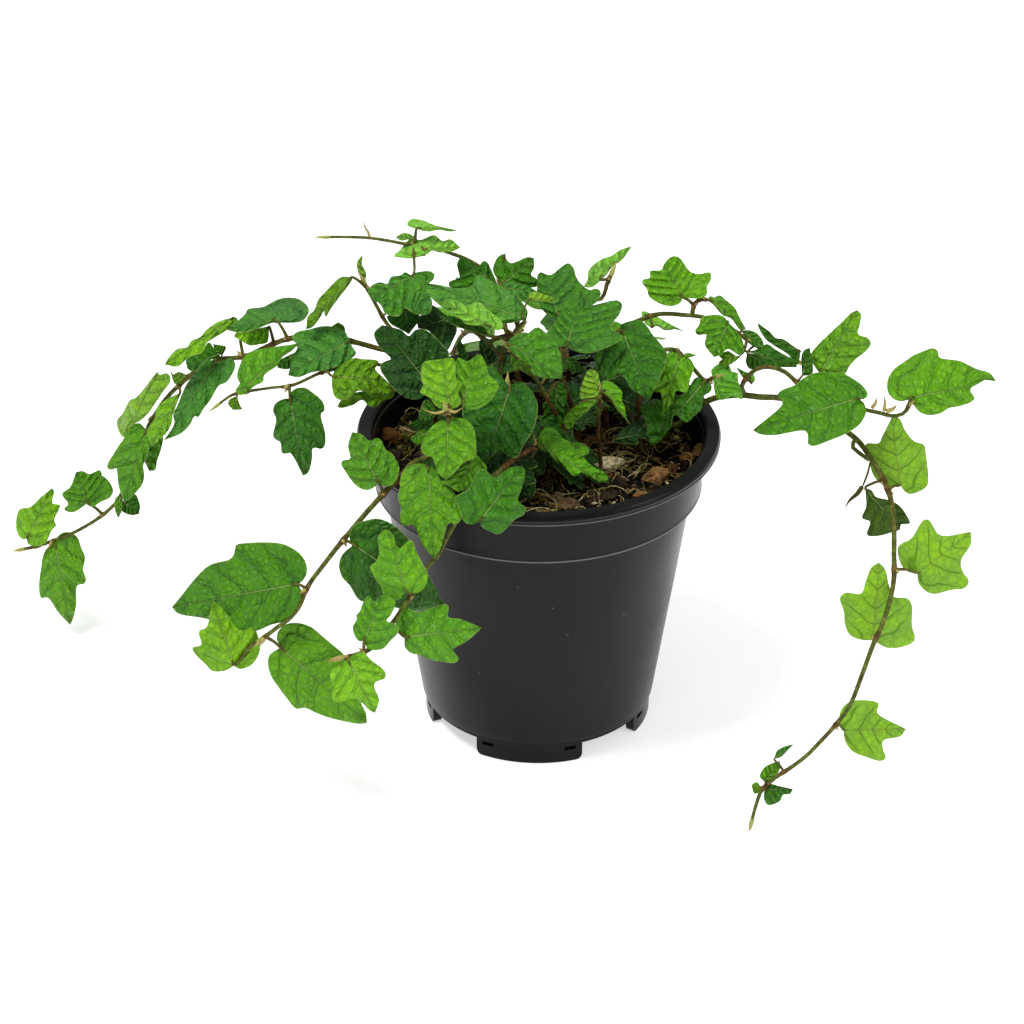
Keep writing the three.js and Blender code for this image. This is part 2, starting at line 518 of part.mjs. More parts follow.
// Pot: one lathe of floor, tapered wall, wider collar and rolled lip, four curved feet below and a
// narrow drain slot through each end of a foot
function makePot() {
  const floorTop = floorBottom + floorThickness;
  const collarTop = rimTop - 2.9;
  const outside = [
    [0, floorBottom],
    [floorRadius, floorBottom],
    [floorRadius, floorBottom + 1.3],
    [bodyBottomRadius, floorBottom + 1.6],
    [bodyTopRadius, collarBottom - 0.4],
    [collarRadius, collarBottom],
    [mouthRadius, collarTop],
    [lipRadius - 0.3, collarTop + 0.5],
    [lipRadius, collarTop + 1.8],
    [lipRadius - 0.5, rimTop],
  ];
  const inside = [
    [mouthRadius + 0.2, rimTop],
    [mouthRadius - 0.6, rimTop - 0.8],
    [mouthRadius - wallThickness, collarTop - 1],
    [collarRadius - wallThickness, collarBottom + 0.6],
    [bodyTopRadius - wallThickness, collarBottom - 0.8],
    [bodyBottomRadius - wallThickness, floorTop + 0.8],
    [bodyBottomRadius - wallThickness - 1.2, floorTop],
    [0, floorTop],
  ];
  let pot = toSolid(lathe([...outside, ...inside], potSegments));
  for (let i = 0; i < footCount; i += 1) {
    const turn = frontFootTurn + (i * 2 * Math.PI) / footCount;
    pot = pot.add(makeFoot(turn));
    for (const side of [-1, 1]) pot = pot.subtract(makeDrainSlot(turn + side * drainSlot.turn));
  }
  return pot;
}

function makeFoot(turn) {
  const shape = new THREE.Shape();
  const outer = floorRadius - 0.1;
  shape.absarc(0, 0, outer, turn - footSpan / 2, turn + footSpan / 2, false);
  shape.absarc(0, 0, outer - footWidth, turn + footSpan / 2, turn - footSpan / 2, true);
  const depth = floorBottom + floorThickness / 2 - footBottom;
  const foot = new THREE.ExtrudeGeometry(shape, { depth, bevelEnabled: false, curveSegments: 6 });
  return toSolid(foot.translate(0, 0, footBottom));
}

function makeDrainSlot(turn) {
  const slot = new THREE.BoxGeometry(8, drainSlot.width, drainSlot.height);
  slot.translate(floorRadius - footWidth / 2, 0, drainSlot.bottom + drainSlot.height / 2);
  return toSolid(slot.rotateZ(turn));
}

// Soil: fills the pot to its uneven surface, with one plain hole for each stem
function makeSoil(holes) {
  const floorTop = floorBottom + floorThickness;
  const bottom = floorTop + 0.3;
  const inner = (height) => {
    const rise = (height - floorTop) / (collarBottom - 0.8 - floorTop);
    return THREE.MathUtils.lerp(bodyBottomRadius, bodyTopRadius, rise) - wallThickness - soilGap;
  };
  const collar = collarRadius - wallThickness - soilGap + 0.4;
  const profile = [
    [0, bottom],
    [inner(bottom) - 1.4, bottom],
    [inner(bottom + 1.5), bottom + 1.5],
    [inner(collarBottom - 0.6), collarBottom - 0.6],
    [collarRadius - wallThickness - soilGap, collarBottom + 1.2],
    [collar, soilLevel - 0.7],
    [collar * 0.84, soilLevel],
    [collar * 0.66, soilLevel],
    [collar * 0.44, soilLevel],
    [collar * 0.22, soilLevel],
    [0, soilLevel],
  ];
  const geometry = lathe(profile, soilSegments);
  const place = geometry.getAttribute('position');
  for (let i = 0; i < place.count; i += 1) {
    const [x, y, z] = [place.getX(i), place.getY(i), place.getZ(i)];
    const inward = 1 - Math.hypot(x, y) / (collar + 0.1);
    if (z > soilLevel - 0.1) place.setZ(i, z + soilBump(x, y) * Math.min(1, inward * 6));
  }
  let soil = toSolid(geometry);
  for (const hole of holes) {
    const cutter = new THREE.CylinderGeometry(hole.radius, hole.radius, 20, 8).rotateX(Math.PI / 2);
    soil = soil.subtract(toSolid(cutter.translate(hole.x, hole.y, holeBottom + 10)));
  }
  return soil;
}

function soilBump(x, y) {
  return 0.7 * Math.sin(x * 0.21 + 1) * Math.cos(y * 0.17) + 0.4 * Math.sin(x * 0.09 - y * 0.31);
}

function pointList(text) {
  return text.split(/\s+/).map((point) => point.split(',').map(Number));
}

// Leaves out the points of an edge that hardly bend it, and keeps its base and tip
function thinned(ring, tip) {
  const kept = [ring[0]];
  const nearest = new THREE.Vector3();
  for (let i = 1; i < ring.length; i += 1) {
    const chord = new THREE.Line3(kept.at(-1), ring[(i + 1) % ring.length]);
    chord.closestPointToPoint(ring[i], true, nearest);
    if (i === tip || nearest.distanceTo(ring[i]) > leastBend) kept.push(ring[i]);
  }
  return kept;
}

function sightLine(x, y) {
  const direction = viewForward.clone().multiplyScalar(viewFocal);
  direction.x += x - pictureCentre;
  return direction.addScaledVector(viewUp, pictureCentre - y).normalize();
}

function atDepth(x, y, depth) {
  const line = sightLine(x, y);
  return eye.clone().addScaledVector(line, (depth - eye.y) / line.y);
}

function fromAngles(azimuth, elevation) {
  const turn = THREE.MathUtils.degToRad(azimuth);
  const rise = THREE.MathUtils.degToRad(elevation);
  return new THREE.Vector3(Math.sin(turn) * Math.cos(rise), -Math.cos(turn) * Math.cos(rise), Math.sin(rise));
}

// How far the blade stands out of its plane: arched along its length and folded down along the
// midrib. along runs from 0 at the base to 1 at the tip.
function bladeLift(along, across, length) {
  return bladeArch * length * (1 - (2 * along - 1) ** 2) - bladeFold * Math.abs(across);
}

// A leaf seen in the photograph: every edge point lies where its sight line meets the leaf's plane,
// then moves along that line by the lift, so its picture stays the same
function seenBlade({ depth, faces, tip, edge }) {
  const points = pointList(edge);
  const base = atDepth(...points[0], depth);
  const facing = fromAngles(...faces);
  const plane = new THREE.Plane().setFromNormalAndCoplanarPoint(facing, base);
  const flat = points.map(([x, y]) => {
    const line = sightLine(x, y);
    return eye.clone().addScaledVector(line, -plane.distanceToPoint(eye) / facing.dot(line));
  });
  const length = flat[tip].distanceTo(base);
  const lengthwise = flat[tip].clone().sub(base).normalize();
  const crosswise = facing.clone().cross(lengthwise);
  const ring = flat.map((point, i) => {
    const arm = point.clone().sub(base);
    const lift = bladeLift(arm.dot(lengthwise) / length, arm.dot(crosswise), length);
    const line = sightLine(...points[i]);
    return point.addScaledVector(line, -lift / Math.max(0.5, Math.abs(facing.dot(line))));
  });
  return blade(thinned(ring, tip), facing);
}

// A leaf of the hidden side, with an edge borrowed from a seen one
function standingBlade({ like, index, at, toward, faces, size }) {
  const source = stems.find((stem) => stem.name === like).leaves[index];
  const points = pointList(source.edge);
  const scale = (size * (viewDistance / viewFocal));
  const arms = points.map(([x, y]) => new THREE.Vector2(x - points[0][0], points[0][1] - y));
  const turn = -arms[source.tip].angle();
  const base = new THREE.Vector3(...at);
  const lengthwise = fromAngles(...toward);
  const facing = fromAngles(...faces);
  facing.addScaledVector(lengthwise, -facing.dot(lengthwise)).normalize();
  const crosswise = facing.clone().cross(lengthwise);
  const length = arms[source.tip].length() * scale;
  const ring = arms.map((arm) => {
    const local = arm.rotateAround(new THREE.Vector2(), turn).multiplyScalar(scale);
    const point = base.clone().addScaledVector(lengthwise, local.x).addScaledVector(crosswise, local.y);
    return point.addScaledVector(facing, bladeLift(local.x / length, local.y, length));
  });
  return blade(thinned(ring, source.tip), facing);
}

// One closed sheet: both faces have the same triangles, half the thickness to either side
function blade(edge, facing) {
  const side = new THREE.Vector3(1, 0, 0);
  if (Math.abs(facing.x) > 0.9) side.set(0, 1, 0);
  const first = side.cross(facing).normalize();
  const second = facing.clone().cross(first);
  const flatten = (points) => points.map((point) => new THREE.Vector2(point.dot(first), point.dot(second)));
  const ring = THREE.ShapeUtils.isClockWise(flatten(edge)) ? edge.toReversed() : edge;
  const flat = flatten(ring);
  const count = ring.length;
  const vertices = [];
  for (const half of [bladeThickness / 2, -bladeThickness / 2]) {
    for (const point of ring) vertices.push(...point.clone().addScaledVector(facing, half));
  }
  const triangles = THREE.ShapeUtils.triangulateShape(flat, []);
  const order = triangles.flatMap(([a, b, c]) => [a, b, c, count + a, count + c, count + b]);
  for (let i = 0; i < count; i += 1) {
    const next = (i + 1) % count;
    order.push(i, count + i, next, next, count + i, count + next);
  }
  const geometry = new THREE.BufferGeometry();
  geometry.setAttribute('position', new THREE.BufferAttribute(Float32Array.from(vertices), 3));
  geometry.setIndex(order);
  const root = insideBase(ring, flat, triangles, ring.indexOf(edge[0]));
  return { solid: toSolid(geometry), base: edge[0], root };
}

// A point inside the sheet just past its base, where the petiole ends: it lies on the line that
// halves the corner at the base
function insideBase(ring, flat, triangles, base) {
  const inward = new THREE.Vector2();
  for (const triangle of triangles.filter((corners) => corners.includes(base))) {
    const [one, other] = triangle
      .filter((corner) => corner !== base)
      .map((corner) => flat[corner].clone().sub(flat[base]).normalize());
    inward.addScaledVector(one.clone().add(other).normalize(), Math.acos(one.dot(other)));
  }
  inward.normalize();
  for (const reach of [petioleSunk, petioleSunk * 0.6, petioleSunk * 0.3]) {
    const probe = new THREE.Vector3(...flat[base].clone().addScaledVector(inward, reach), 0);
    for (const triangle of triangles) {
      const corners = triangle.map((corner) => new THREE.Vector3(...flat[corner], 0));
      if (new THREE.Triangle(...corners).containsPoint(probe)) {
        const places = triangle.map((corner) => ring[corner]);
        return THREE.Triangle.getInterpolation(probe, ...corners, ...places, new THREE.Vector3());
      }
    }
  }
  return ring[base].clone();
}

// A closed tapering tube along a curve
function sweep(points, startRadius, endRadius, sides) {
  const curve = new THREE.CatmullRomCurve3(points, false, 'centripetal');
  const steps = Math.max(1, Math.round(curve.getLength() / stemStep));
  const frames = curve.computeFrenetFrames(steps, false);
  const spine = curve.getSpacedPoints(steps);
  const vertices = [];
  spine.forEach((centre, i) => {
    const radius = THREE.MathUtils.lerp(startRadius, endRadius, i / steps);
    for (let j = 0; j < sides; j += 1) {
      const turn = (j * 2 * Math.PI) / sides;
      const point = centre.clone().addScaledVector(frames.normals[i], Math.cos(turn) * radius);
      vertices.push(...point.addScaledVector(frames.binormals[i], Math.sin(turn) * radius));
    }
  });
  const order = [];
  const last = steps * sides;
  for (let j = 0; j < sides; j += 1) {
    const next = (j + 1) % sides;
    for (let i = 0; i < last; i += sides) {
      order.push(i + j, i + next, i + sides + j, i + sides + j, i + next, i + sides + next);
    }
    if (j > 0 && j < sides - 1) order.push(0, next, j, last, last + j, last + next);
  }
  const geometry = new THREE.BufferGeometry();
  geometry.setAttribute('position', new THREE.BufferAttribute(Float32Array.from(vertices), 3));
  geometry.setIndex(order);
  return { spine, solid: toSolid(geometry) };
}

// The stem stands upright in its hole before it bends away
function rootPoints([x, y]) {
  return [63, 67, 71, 74].map((z) => new THREE.Vector3(x, y, z));
}

function nearestOn(spines, point) {
  const found = new THREE.Vector3();
  let best = null;
  for (const spine of spines) {
    for (let i = 1; i < spine.length; i += 1) {
      new THREE.Line3(spine[i - 1], spine[i]).closestPointToPoint(point, true, found);
      if (i === spine.length - 1 && found.distanceTo(spine[i]) < endMargin) {
        found.copy(spine[i]).addScaledVector(spine[i - 1].clone().sub(spine[i]).normalize(), endMargin);
      }
      const inSoil = Math.hypot(found.x, found.y) < collarRadius && found.z < soilLevel + 3;
      if (inSoil) continue;
      if (!best || found.distanceTo(point) < best.distanceTo(point)) best = found.clone();
    }
  }
  return best;
}

// The petiole runs from the stem, a little arched, into the blade just past its base
function petiole(spines, { base, root }) {
  const start = nearestOn(spines, base);
  const middle = start.clone().lerp(root, 0.5);
  middle.z += petioleArch * start.distanceTo(root);
  return sweep([start, middle, root], petioleRadius, petioleEnd, petioleSides).solid;
}

function makeStem(stem) {
  const seen = stem.leaves.map((entry) => (entry.edge ? seenBlade(entry) : standingBlade(entry)));
  const route = Array.isArray(stem.path)
    ? stem.path.map((point) => new THREE.Vector3(...point))
    : pointList(stem.path).map((point) => atDepth(...point));
  const main = sweep([...rootPoints(stem.root), ...route], ...stem.radius, stemSides);
  const spines = [main.spine];
  let solid = main.solid;
  for (const twig of stem.twigs ?? []) {
    const [, ...rest] = pointList(twig).map((point) => atDepth(...point));
    const side = sweep([nearestOn(spines, rest[0]), ...rest], twigRadius + 0.1, twigRadius, stemSides);
    spines.push(side.spine);
    solid = solid.add(side.solid);
  }
  for (const one of seen) solid = solid.add(one.solid).add(petiole(spines, one));
  return solid;
}

const plant = new THREE.Group();
const everyStem = [...stems, ...backStems];
const holes = everyStem.map(({ root: [x, y], radius: [thick] }) => ({ x, y, radius: thick + holeClearance }));
plant.add(toMesh('pot', makePot(), 0x2b2b2d, 0.45));
plant.add(toMesh('soil', makeSoil(holes), 0x2c2018, 0.95));
everyStem.forEach((stem, i) => {
  plant.add(toMesh(stem.name, makeStem(stem), leafColours[i % leafColours.length], 0.5));
});

const footprint = new THREE.Box3().setFromObject(plant);
const middle = footprint.getCenter(new THREE.Vector3());
plant.position.set(-middle.x, -middle.y, -footprint.min.z);

export default plant;
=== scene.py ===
import math
import bpy
import numpy as np
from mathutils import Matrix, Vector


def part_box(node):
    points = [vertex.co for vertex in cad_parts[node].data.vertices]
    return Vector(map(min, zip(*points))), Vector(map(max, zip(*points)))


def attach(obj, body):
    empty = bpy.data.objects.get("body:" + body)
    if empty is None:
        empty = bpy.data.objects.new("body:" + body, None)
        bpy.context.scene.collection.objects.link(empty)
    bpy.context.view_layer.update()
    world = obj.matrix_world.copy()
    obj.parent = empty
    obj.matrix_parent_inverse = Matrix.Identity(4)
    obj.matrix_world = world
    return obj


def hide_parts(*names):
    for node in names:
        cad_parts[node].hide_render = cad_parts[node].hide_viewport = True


# Oak leaf creeping fig in a black nursery pot. Shapes are worked out in millimetres from the
# pot's axis and put into meshes in metres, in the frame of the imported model
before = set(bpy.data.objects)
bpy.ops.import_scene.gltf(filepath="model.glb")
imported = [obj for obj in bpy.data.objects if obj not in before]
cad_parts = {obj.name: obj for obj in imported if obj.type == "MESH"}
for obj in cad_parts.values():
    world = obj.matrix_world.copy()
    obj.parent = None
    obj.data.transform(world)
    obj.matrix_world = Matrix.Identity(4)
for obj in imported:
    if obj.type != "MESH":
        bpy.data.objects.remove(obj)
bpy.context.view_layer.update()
potLow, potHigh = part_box("pot")
rimTop = 78.3  # height of the rim above the pot axis's zero, in mm
potMiddle = [(potLow.x + potHigh.x) / 2, (potLow.y + potHigh.y) / 2]
potAxis = np.array([*potMiddle, potHigh.z - rimTop / 1000.0])
print("frame loaded, pot axis at", potAxis)

# Camera: tilt in degrees above the floor, distance and target in mm, focal length and the middle of
# the square picture in pixels. The leaf outlines were read from this same eye
view = {
    "tilt": 30.0, "distance": 751.0, "focal": 3000.0, "centre": 512.0, "pixels": 1024.0,
    "target": (-6.6, 0.0, 54.0), "sensor": 36.0,
}
tilt = math.radians(view["tilt"])
forward = np.array([0.0, math.cos(tilt), -math.sin(tilt)])
upward = np.array([0.0, math.sin(tilt), math.cos(tilt)])
eye = np.array(view["target"]) - forward * view["distance"]
cameraData = bpy.data.cameras.new("camera")
cameraData.sensor_width = view["sensor"]
cameraData.lens = view["sensor"] * view["focal"] / view["pixels"]
cameraData.clip_start = 0.01
camera = bpy.data.objects.new("camera", cameraData)
camera.location = potAxis + eye / 1000.0
camera.rotation_euler = (math.radians(90.0) - tilt, 0.0, 0.0)
bpy.context.scene.collection.objects.link(camera)
bpy.context.scene.camera = camera

# The plant's measured lines. Each stem is a path of picture x, picture y and depth in mm, from the
# soil outward. A leaf holds its tone, the depth of its base, the azimuth and elevation of its upper
# side and the count of its tip, then its edge in picture points from the petiole once around, and
# a semicolon ends it
seenStems = {
    "left_trailing_stem": {
        "root": (-22, 12), "radius": (0.75, 0.45),
        "path": """
            430,362,6 405,352,10 385,350,12 350,341,13 320,337,14 292,338,15 268,346,16 246,356,17
            220,360,19 200,368,20 185,380,21.5 165,400,24 150,425,27 138,460,29 127,490,31 118,501,31.5
            100,517,32 75,532,33 55,540,34 38,546,35 24,549,36
        """,
        "leaves": """
            lime 34 -15,40 8 | 27,538 22,539 17,532 16,521 19,510 23,508 30,507 41,497 52,488 54,492
                52,503 60,505 58,511 54,520 56,525 51,531 46,542 38,546 28,544;
            bright 33 -10,5 10 | 55,544 48,547 43,556 41,568 39,584 40,596 42,599 46,597 50,600 58,612
                70,625 72,621 76,605 76,590 78,585 84,584 86,580 83,570 85,557 81,548 77,537 67,532
                58,536;
            medium 31.5 -15,50 8 | 87,503 81,506 76,511 69,512 64,509 68,504 62,494 70,487 76,472
                83,471 89,474 100,470 102,475 108,480 113,490 110,497 100,502 92,507;
            dark 29 10,40 3 | 122,501 121,510 131,515 139,514 140,505 135,494 130,498;
            medium 28.5 -20,30 3 | 120,494 115,499 115,510 118,518 121,512 122,503;
            medium 21 -25,30 10 | 146,430 139,423 129,428 124,438 119,445 114,453 107,466 109,470
                115,466 119,488 124,502 133,495 142,484 144,475 143,466 147,455 150,440;
            medium 25 -10,25 3 | 160,428 150,440 143,455 149,471 155,470 157,461 161,449 163,438;
            pale 25 -40,12 9 | 127,434 124,438 118,430 117,420 122,414 130,400 135,398 142,391 151,379
                157,372 160,377 166,373 170,377 169,383 163,391 158,399 153,406 149,412 141,420 133,425;
            lime 19 -35,35 6 | 180,393 169,398 160,404 156,410 155,418 147,432 151,446 161,438 168,430
                172,420 172,415 174,410 177,402;
            bluish 15 -25,42 8 | 214,364 209,359 203,362 194,374 186,385 177,406 173,414 174,424
                164,440 181,433 190,424 194,416 198,417 203,409 210,400 219,385 225,383 234,370 235,363
                231,358 222,361;
            lime 22 -30,72 8 | 235,317 237,321 226,330 213,338 207,342 202,352 190,356 177,366 165,364
                169,357 177,349 187,347 191,341 200,337 206,330 214,324 222,320;
            bluish 15 0,80 5 | 277,321 270,323 260,327 251,330 238,332 226,329 236,322 245,314 248,309
                253,308 263,307 272,302 282,298 296,298 305,303 309,309 308,314 303,320 296,322 286,321;
            bluish 9 -10,48 9 | 349,341 346,333 339,328 324,326 310,329 295,333 292,339 298,346
                294,354 288,375 298,377 312,372 325,370 339,365 350,359 356,353 352,347;
            dark 12 0,40 3 | 298,351 285,357 276,362 278,368 288,369 298,362;
            bright 12 0,40 2 | 341,335 331,328 338,322 344,326 345,333;
            lime 20 0,65 4 | 269,326 260,328 247,331 237,332 234,336 242,341 250,345 259,344 267,342;
            dark 18 -10,50 6 | 220,358 214,349 209,342 203,349 190,355 186,360 187,368 191,371 197,369
                206,361;
            medium 20 0,30 2 | 222,356 215,352 213,344 220,345 226,347;
            olive 21 0,20 3 | 187,375 178,372 172,375 170,370 175,384 181,383;
        """,
    },
    "left_low_stem": {
        "root": (-25, 2), "radius": (0.6, 0.35),
        "path": """
            425,378,4 400,370,9 375,364,10 350,362,9 335,369,7 320,373,5 305,380,3 293,385,2 270,388,2
            250,391,2 232,395,2 219,404,2
        """,
        "leaves": """
            olive 2 0,30 3 | 237,396 230,399 228,404 233,410 242,409 240,405;
            olive 0 8,42 8 | 332,376 335,370 341,365 353,358 363,359 376,360 379,362 375,368 386,380
                393,389 390,393 376,393 357,391 352,397 341,400 335,397 332,387;
            olive 1 0,30 8 | 395,391 393,397 381,402 376,407 369,406 362,400 353,405 341,408 337,407
                341,400 350,394 375,390;
            dark -1 -5,5 12 | 290,399 284,399 275,404 273,411 276,419 273,436 276,440 280,442 282,453
                285,454 290,453 295,460 303,476 308,473 312,459 313,448 322,449 325,445 325,433 321,414
                325,410 322,401 314,394 305,388 295,389 290,394;
            medium 0 -18,50 7 | 248,392 241,395 235,391 240,383 237,378 239,367 247,354 299,343
                292,350 282,357 276,366 264,375 263,381 254,386;
        """,
    },
    "front_left_stem": {
        "root": (-15, -7), "radius": (0.85, 0.5),
        "path": """
            440,450,-19 425,458,-23 412,464,-26 402,475,-30 390,487,-33 375,503,-36 360,520,-38
            345,538,-40 335,550,-42 322,567,-44 312,580,-45 305,592,-47 300,605,-48 290,618,-49
            275,629,-50 261,640,-50
        """,
        "leaves": """
            bright -39.3 -18,20 12 | 428,467 423,464 415,464 406,468 401,476 400,487 398,498 401,508
                400,521 403,526 413,525 422,544 434,559 440,549 449,523 456,524 461,519 458,500 449,486
                440,480 437,472 433,467;
            medium -35 -30,40 10 | 378,482 374,487 366,490 358,487 351,480 345,471 341,464 343,460
                350,459 348,446 352,432 361,434 370,441 376,438 381,440 385,449 391,453 396,460 399,468
                397,478 391,485 384,486;
            dark -42 10,5 7 | 354,545 350,541 350,534 355,525 365,521 379,519 402,532 445,606 410,611
                393,607 370,603 359,600 350,586 342,577 339,565 343,554;
            rich -46 -25,30 12 | 297,584 301,582 306,575 306,564 300,554 288,546 279,543 245,543
                236,545 234,554 230,559 208,566 172,607 177,613 207,619 242,631 256,631 270,625 284,621
                296,612 301,601 301,590;
            rich_lime -50 -10,15 9 | 234,666 224,671 212,671 206,665 196,655 192,648 201,645 199,631
                206,628 212,601 219,606 228,616 234,625 243,631 253,627 257,634 260,649 257,658 250,666
                240,669;
            bright -49 10,15 13 | 281,648 275,651 269,656 268,665 271,676 279,688 288,700 296,709
                305,708 316,713 330,718 347,722 360,724 367,723 366,713 362,705 357,688 352,672 344,655
                334,646 322,636 311,627 297,623 285,625 278,632 277,640;
        """,
    },
    "front_stem": {
        "root": (2, -8), "radius": (0.8, 0.5),
        "path": """
            541,440,-12 535,447,-16 526,452,-20 515,458,-25 505,466,-30 494,476,-34 483,489,-39
            470,502,-43 460,515,-44 452,528,-43.5 445,541,-43 438,555,-43.5 425,570,-45 413,592,-47
            400,612,-49 386,632,-50 372,648,-51 355,655,-53 343,658,-54
        """,
        "leaves": """
            medium -17 10,55 14 | 538,447 539,437 542,430 549,427 556,430 564,439 573,442 583,444
                589,449 587,455 583,455 592,466 602,471 608,477 607,482 599,482 589,477 581,472 577,476
                572,475 566,468 558,463 549,454 545,451;
            quilted -51 5,38 13 | 480,521 473,524 466,523 462,518 460,508 456,496 462,493 470,487
                475,476 482,469 489,473 494,478 509,468 522,466 525,470 524,480 521,490 518,501 526,508
                524,514 514,520 507,528 498,534 490,531 482,527;
            bright -49 -10,10 15 | 406,592 400,599 391,600 383,594 381,586 377,582 373,574 370,568
                371,565 376,562 379,550 378,537 382,532 385,530 387,530 388,530 393,536 397,547 401,549
                408,541 412,541 416,551 422,563 427,572 427,581 424,588 417,593;
            medium -52 -15,15 11 | 364,641 359,641 354,634 353,626 357,619 356,616 360,611 362,605
                366,598 369,596 373,602 383,594 388,597 395,602 394,608 390,616 386,621 394,624 399,628
                397,634 390,641 384,648 377,650 368,649;
            medium -51 10,20 12 | 405,637 400,635 396,625 397,613 401,608 406,607 417,612 432,608
                445,604 449,607 448,617 460,619 482,628 467,641 453,650 458,657 458,661 453,663 444,662
                428,659 420,655 411,653 405,647;
            lime -55 -5,20 9 | 348,660 350,657 362,652 371,660 385,672 385,678 376,682 374,686 379,700
                375,713 369,710 362,703 353,698 342,702 335,702 332,698 333,687 330,675 336,666;
        """,
    },
    "front_cluster_stem": {
        "root": (-19, -14), "radius": (0.7, 0.5),
        "path": "461,452,-20 458,434,-26 455,421,-32 447,414,-36 446,409,-37",
        "leaves": """
            lime -37 -10,38 9 | 450,409 442,409 435,405 430,398 420,392 423,386 421,377 423,363
                427,361 442,359 449,358 454,359 456,372 456,379 462,383 458,393 461,401 457,407;
            bright -35 10,38 7 | 463,402 458,393 460,385 455,376 454,368 458,358 468,361 477,354
                481,355 486,364 489,375 499,384 494,396 485,405 475,409 466,408;
            bright -37 -12,35 9 | 448,421 442,420 436,423 428,431 423,441 421,450 426,456 432,457
                438,473 446,480 455,472 463,463 475,457 476,447 475,435 472,425 464,419 455,418;
            bright -40.5 0,35 6 | 470,462 464,463 456,472 450,479 440,481 449,486 458,492 470,487
                474,478 486,471 487,467 481,460 476,455;
            dark -29 0,30 4 | 438,412 430,401 425,400 420,410 418,418 422,420 433,418;
            medium -27 0,30 4 | 429,431 422,430 416,434 412,437 411,440 418,445 424,441;
        """,
    },
    "centre_dark_leaf_stem": {
        "root": (-2, -16), "radius": (0.6, 0.5),
        "path": "507,400,-18 506,392,-16.5 507,386,-15.5",
        "leaves": """
            quilted_dark -18 -8,40 11 | 510,388 500,374 494,368 488,366 481,372 471,390 463,405
                463,417 468,428 476,446 478,455 485,464 500,449 505,453 512,458 518,456 523,446 532,432
                537,416 537,402 532,392 521,382 514,383;
        """,
    },
    "centre_stem": {
        "root": (8, -3), "radius": (0.6, 0.45),
        "path": "535,378,-8 527,368,-10 516,356,-12 508,347,-14",
        "leaves": """
            medium_pale -16 8,45 11 | 507,343 511,338 524,332 530,334 534,338 532,331 537,327 544,331
                550,337 558,347 562,362 562,378 554,378 541,377 531,371 533,367 528,363 518,357 511,351;
            olive -11 0,30 4 | 511,351 511,361 516,371 520,369 531,375 531,367 528,363 518,357;
            dark 0 0,30 3 | 563,358 572,357 580,364 584,372 573,372 566,367;
            dark -3 0,12 6 | 557,382 551,392 549,400 543,405 545,413 541,421 555,428 564,423 564,406
                567,399 566,390 562,383;
        """,
    },
    "left_dark_stem": {
        "root": (-12, 0), "radius": (0.7, 0.5),
        "path": "466,408,-4 452,398,-5 440,390,-6 432,386,-7",
        "leaves": """
            very_dark -7 -18,35 11 | 430,386 421,398 410,399 396,391 386,379 380,368 383,362 391,359
                384,352 377,343 374,333 382,325 391,327 401,330 409,336 415,330 423,329 432,334 443,345
                449,353 445,368 438,379;
        """,
    },
    "left_upright_stem": {
        "root": (-17, 16), "radius": (0.6, 0.45),
        "path": "430,362,12 410,345,14 388,325,15 375,303,16 368,290,16 365,284,16",
        "leaves": """
            olive 14 -30,40 6 | 351,277 341,277 327,290 318,300 314,310 308,316 306,329 312,327
                320,317 324,310 325,317 331,308 339,297 352,279;
            pale 16 0,20 3 | 365,283 359,275 357,262 363,255 362,264 366,273;
            dark 11.4 -5,50 4 | 405,308 420,316 415,326 411,331 409,334 400,329 390,323 387,316
                396,314;
        """,
    },
    "top_stem": {
        "root": (-3, 16), "radius": (0.7, 0.35),
        "path": """
            506,330,16 501,305,20 492,278,24 480,267,25.5 466,259,25.5 450,253,23 430,247,21 405,244,20
            390,241,20 370,238,20 350,237,20 328,237,20
        """,
        "leaves": """
            light 19 0,70 6 | 417,228 409,226 407,224 411,219 422,220 435,225 456,230 450,231 440,229
                429,231 422,230;
            light 17 0,65 12 | 424,250 417,255 410,258 401,257 393,256 400,250 407,241 413,238 420,240
                434,235 443,241 450,239 460,247 455,250 440,252 432,250 428,253;
            light 21 0,65 3 | 416,238 410,234 403,233 396,237 401,240 408,239;
            medium_dark 12 -15,52 9 | 414,273 410,275 405,272 401,275 391,277 387,284 380,282 371,286
                368,292 371,299 380,304 385,313 394,316 400,315 404,308 414,313 424,315 430,313 432,300
                426,290 429,283 435,277 433,272 424,271;
        """,
    },
    "crown_middle_stem": {
        "root": (-8, 6), "radius": (0.75, 0.5),
        "path": "500,380,2 500,362,0 505,346,-2 512,337,-3 518,331,-3",
        "leaves": """
            blue_green -4 0,60 11 | 526,319 528,312 522,302 515,294 499,285 485,277 477,276 473,284
                467,288 455,288 440,285 425,283 426,291 435,301 447,310 470,316 490,322 508,323;
            light -9 0,60 10 | 489,326 498,330 503,327 501,320 492,313 484,306 477,301 468,305 457,301
                449,299 443,301 446,305 452,309 446,312 458,315 465,323 475,325;
            dark -5 0,55 4 | 488,336 484,327 470,323 450,316 440,317 449,322 459,327 475,332;
            very_dark 6 0,20 3 | 488,366 481,355 479,343 481,339 487,338 494,346 496,357;
            dark 4 0,20 2 | 503,370 497,357 497,345 502,346 507,358;
            dark 6 0,20 3 | 463,364 458,352 457,344 460,339 464,347 469,358;
            very_dark 8 0,45 5 | 450,318 440,311 432,305 422,314 417,320 418,328 429,331 437,343
                446,351 453,340 457,328;
            pale -3 10,60 4 | 529,300 528,296 529,293 537,292 557,299 551,301 541,301;
        """,
    },
    "crown_back_stem": {
        "root": (0, 22), "radius": (0.7, 0.5),
        "path": "515,318,17 508,298,17 502,288,16",
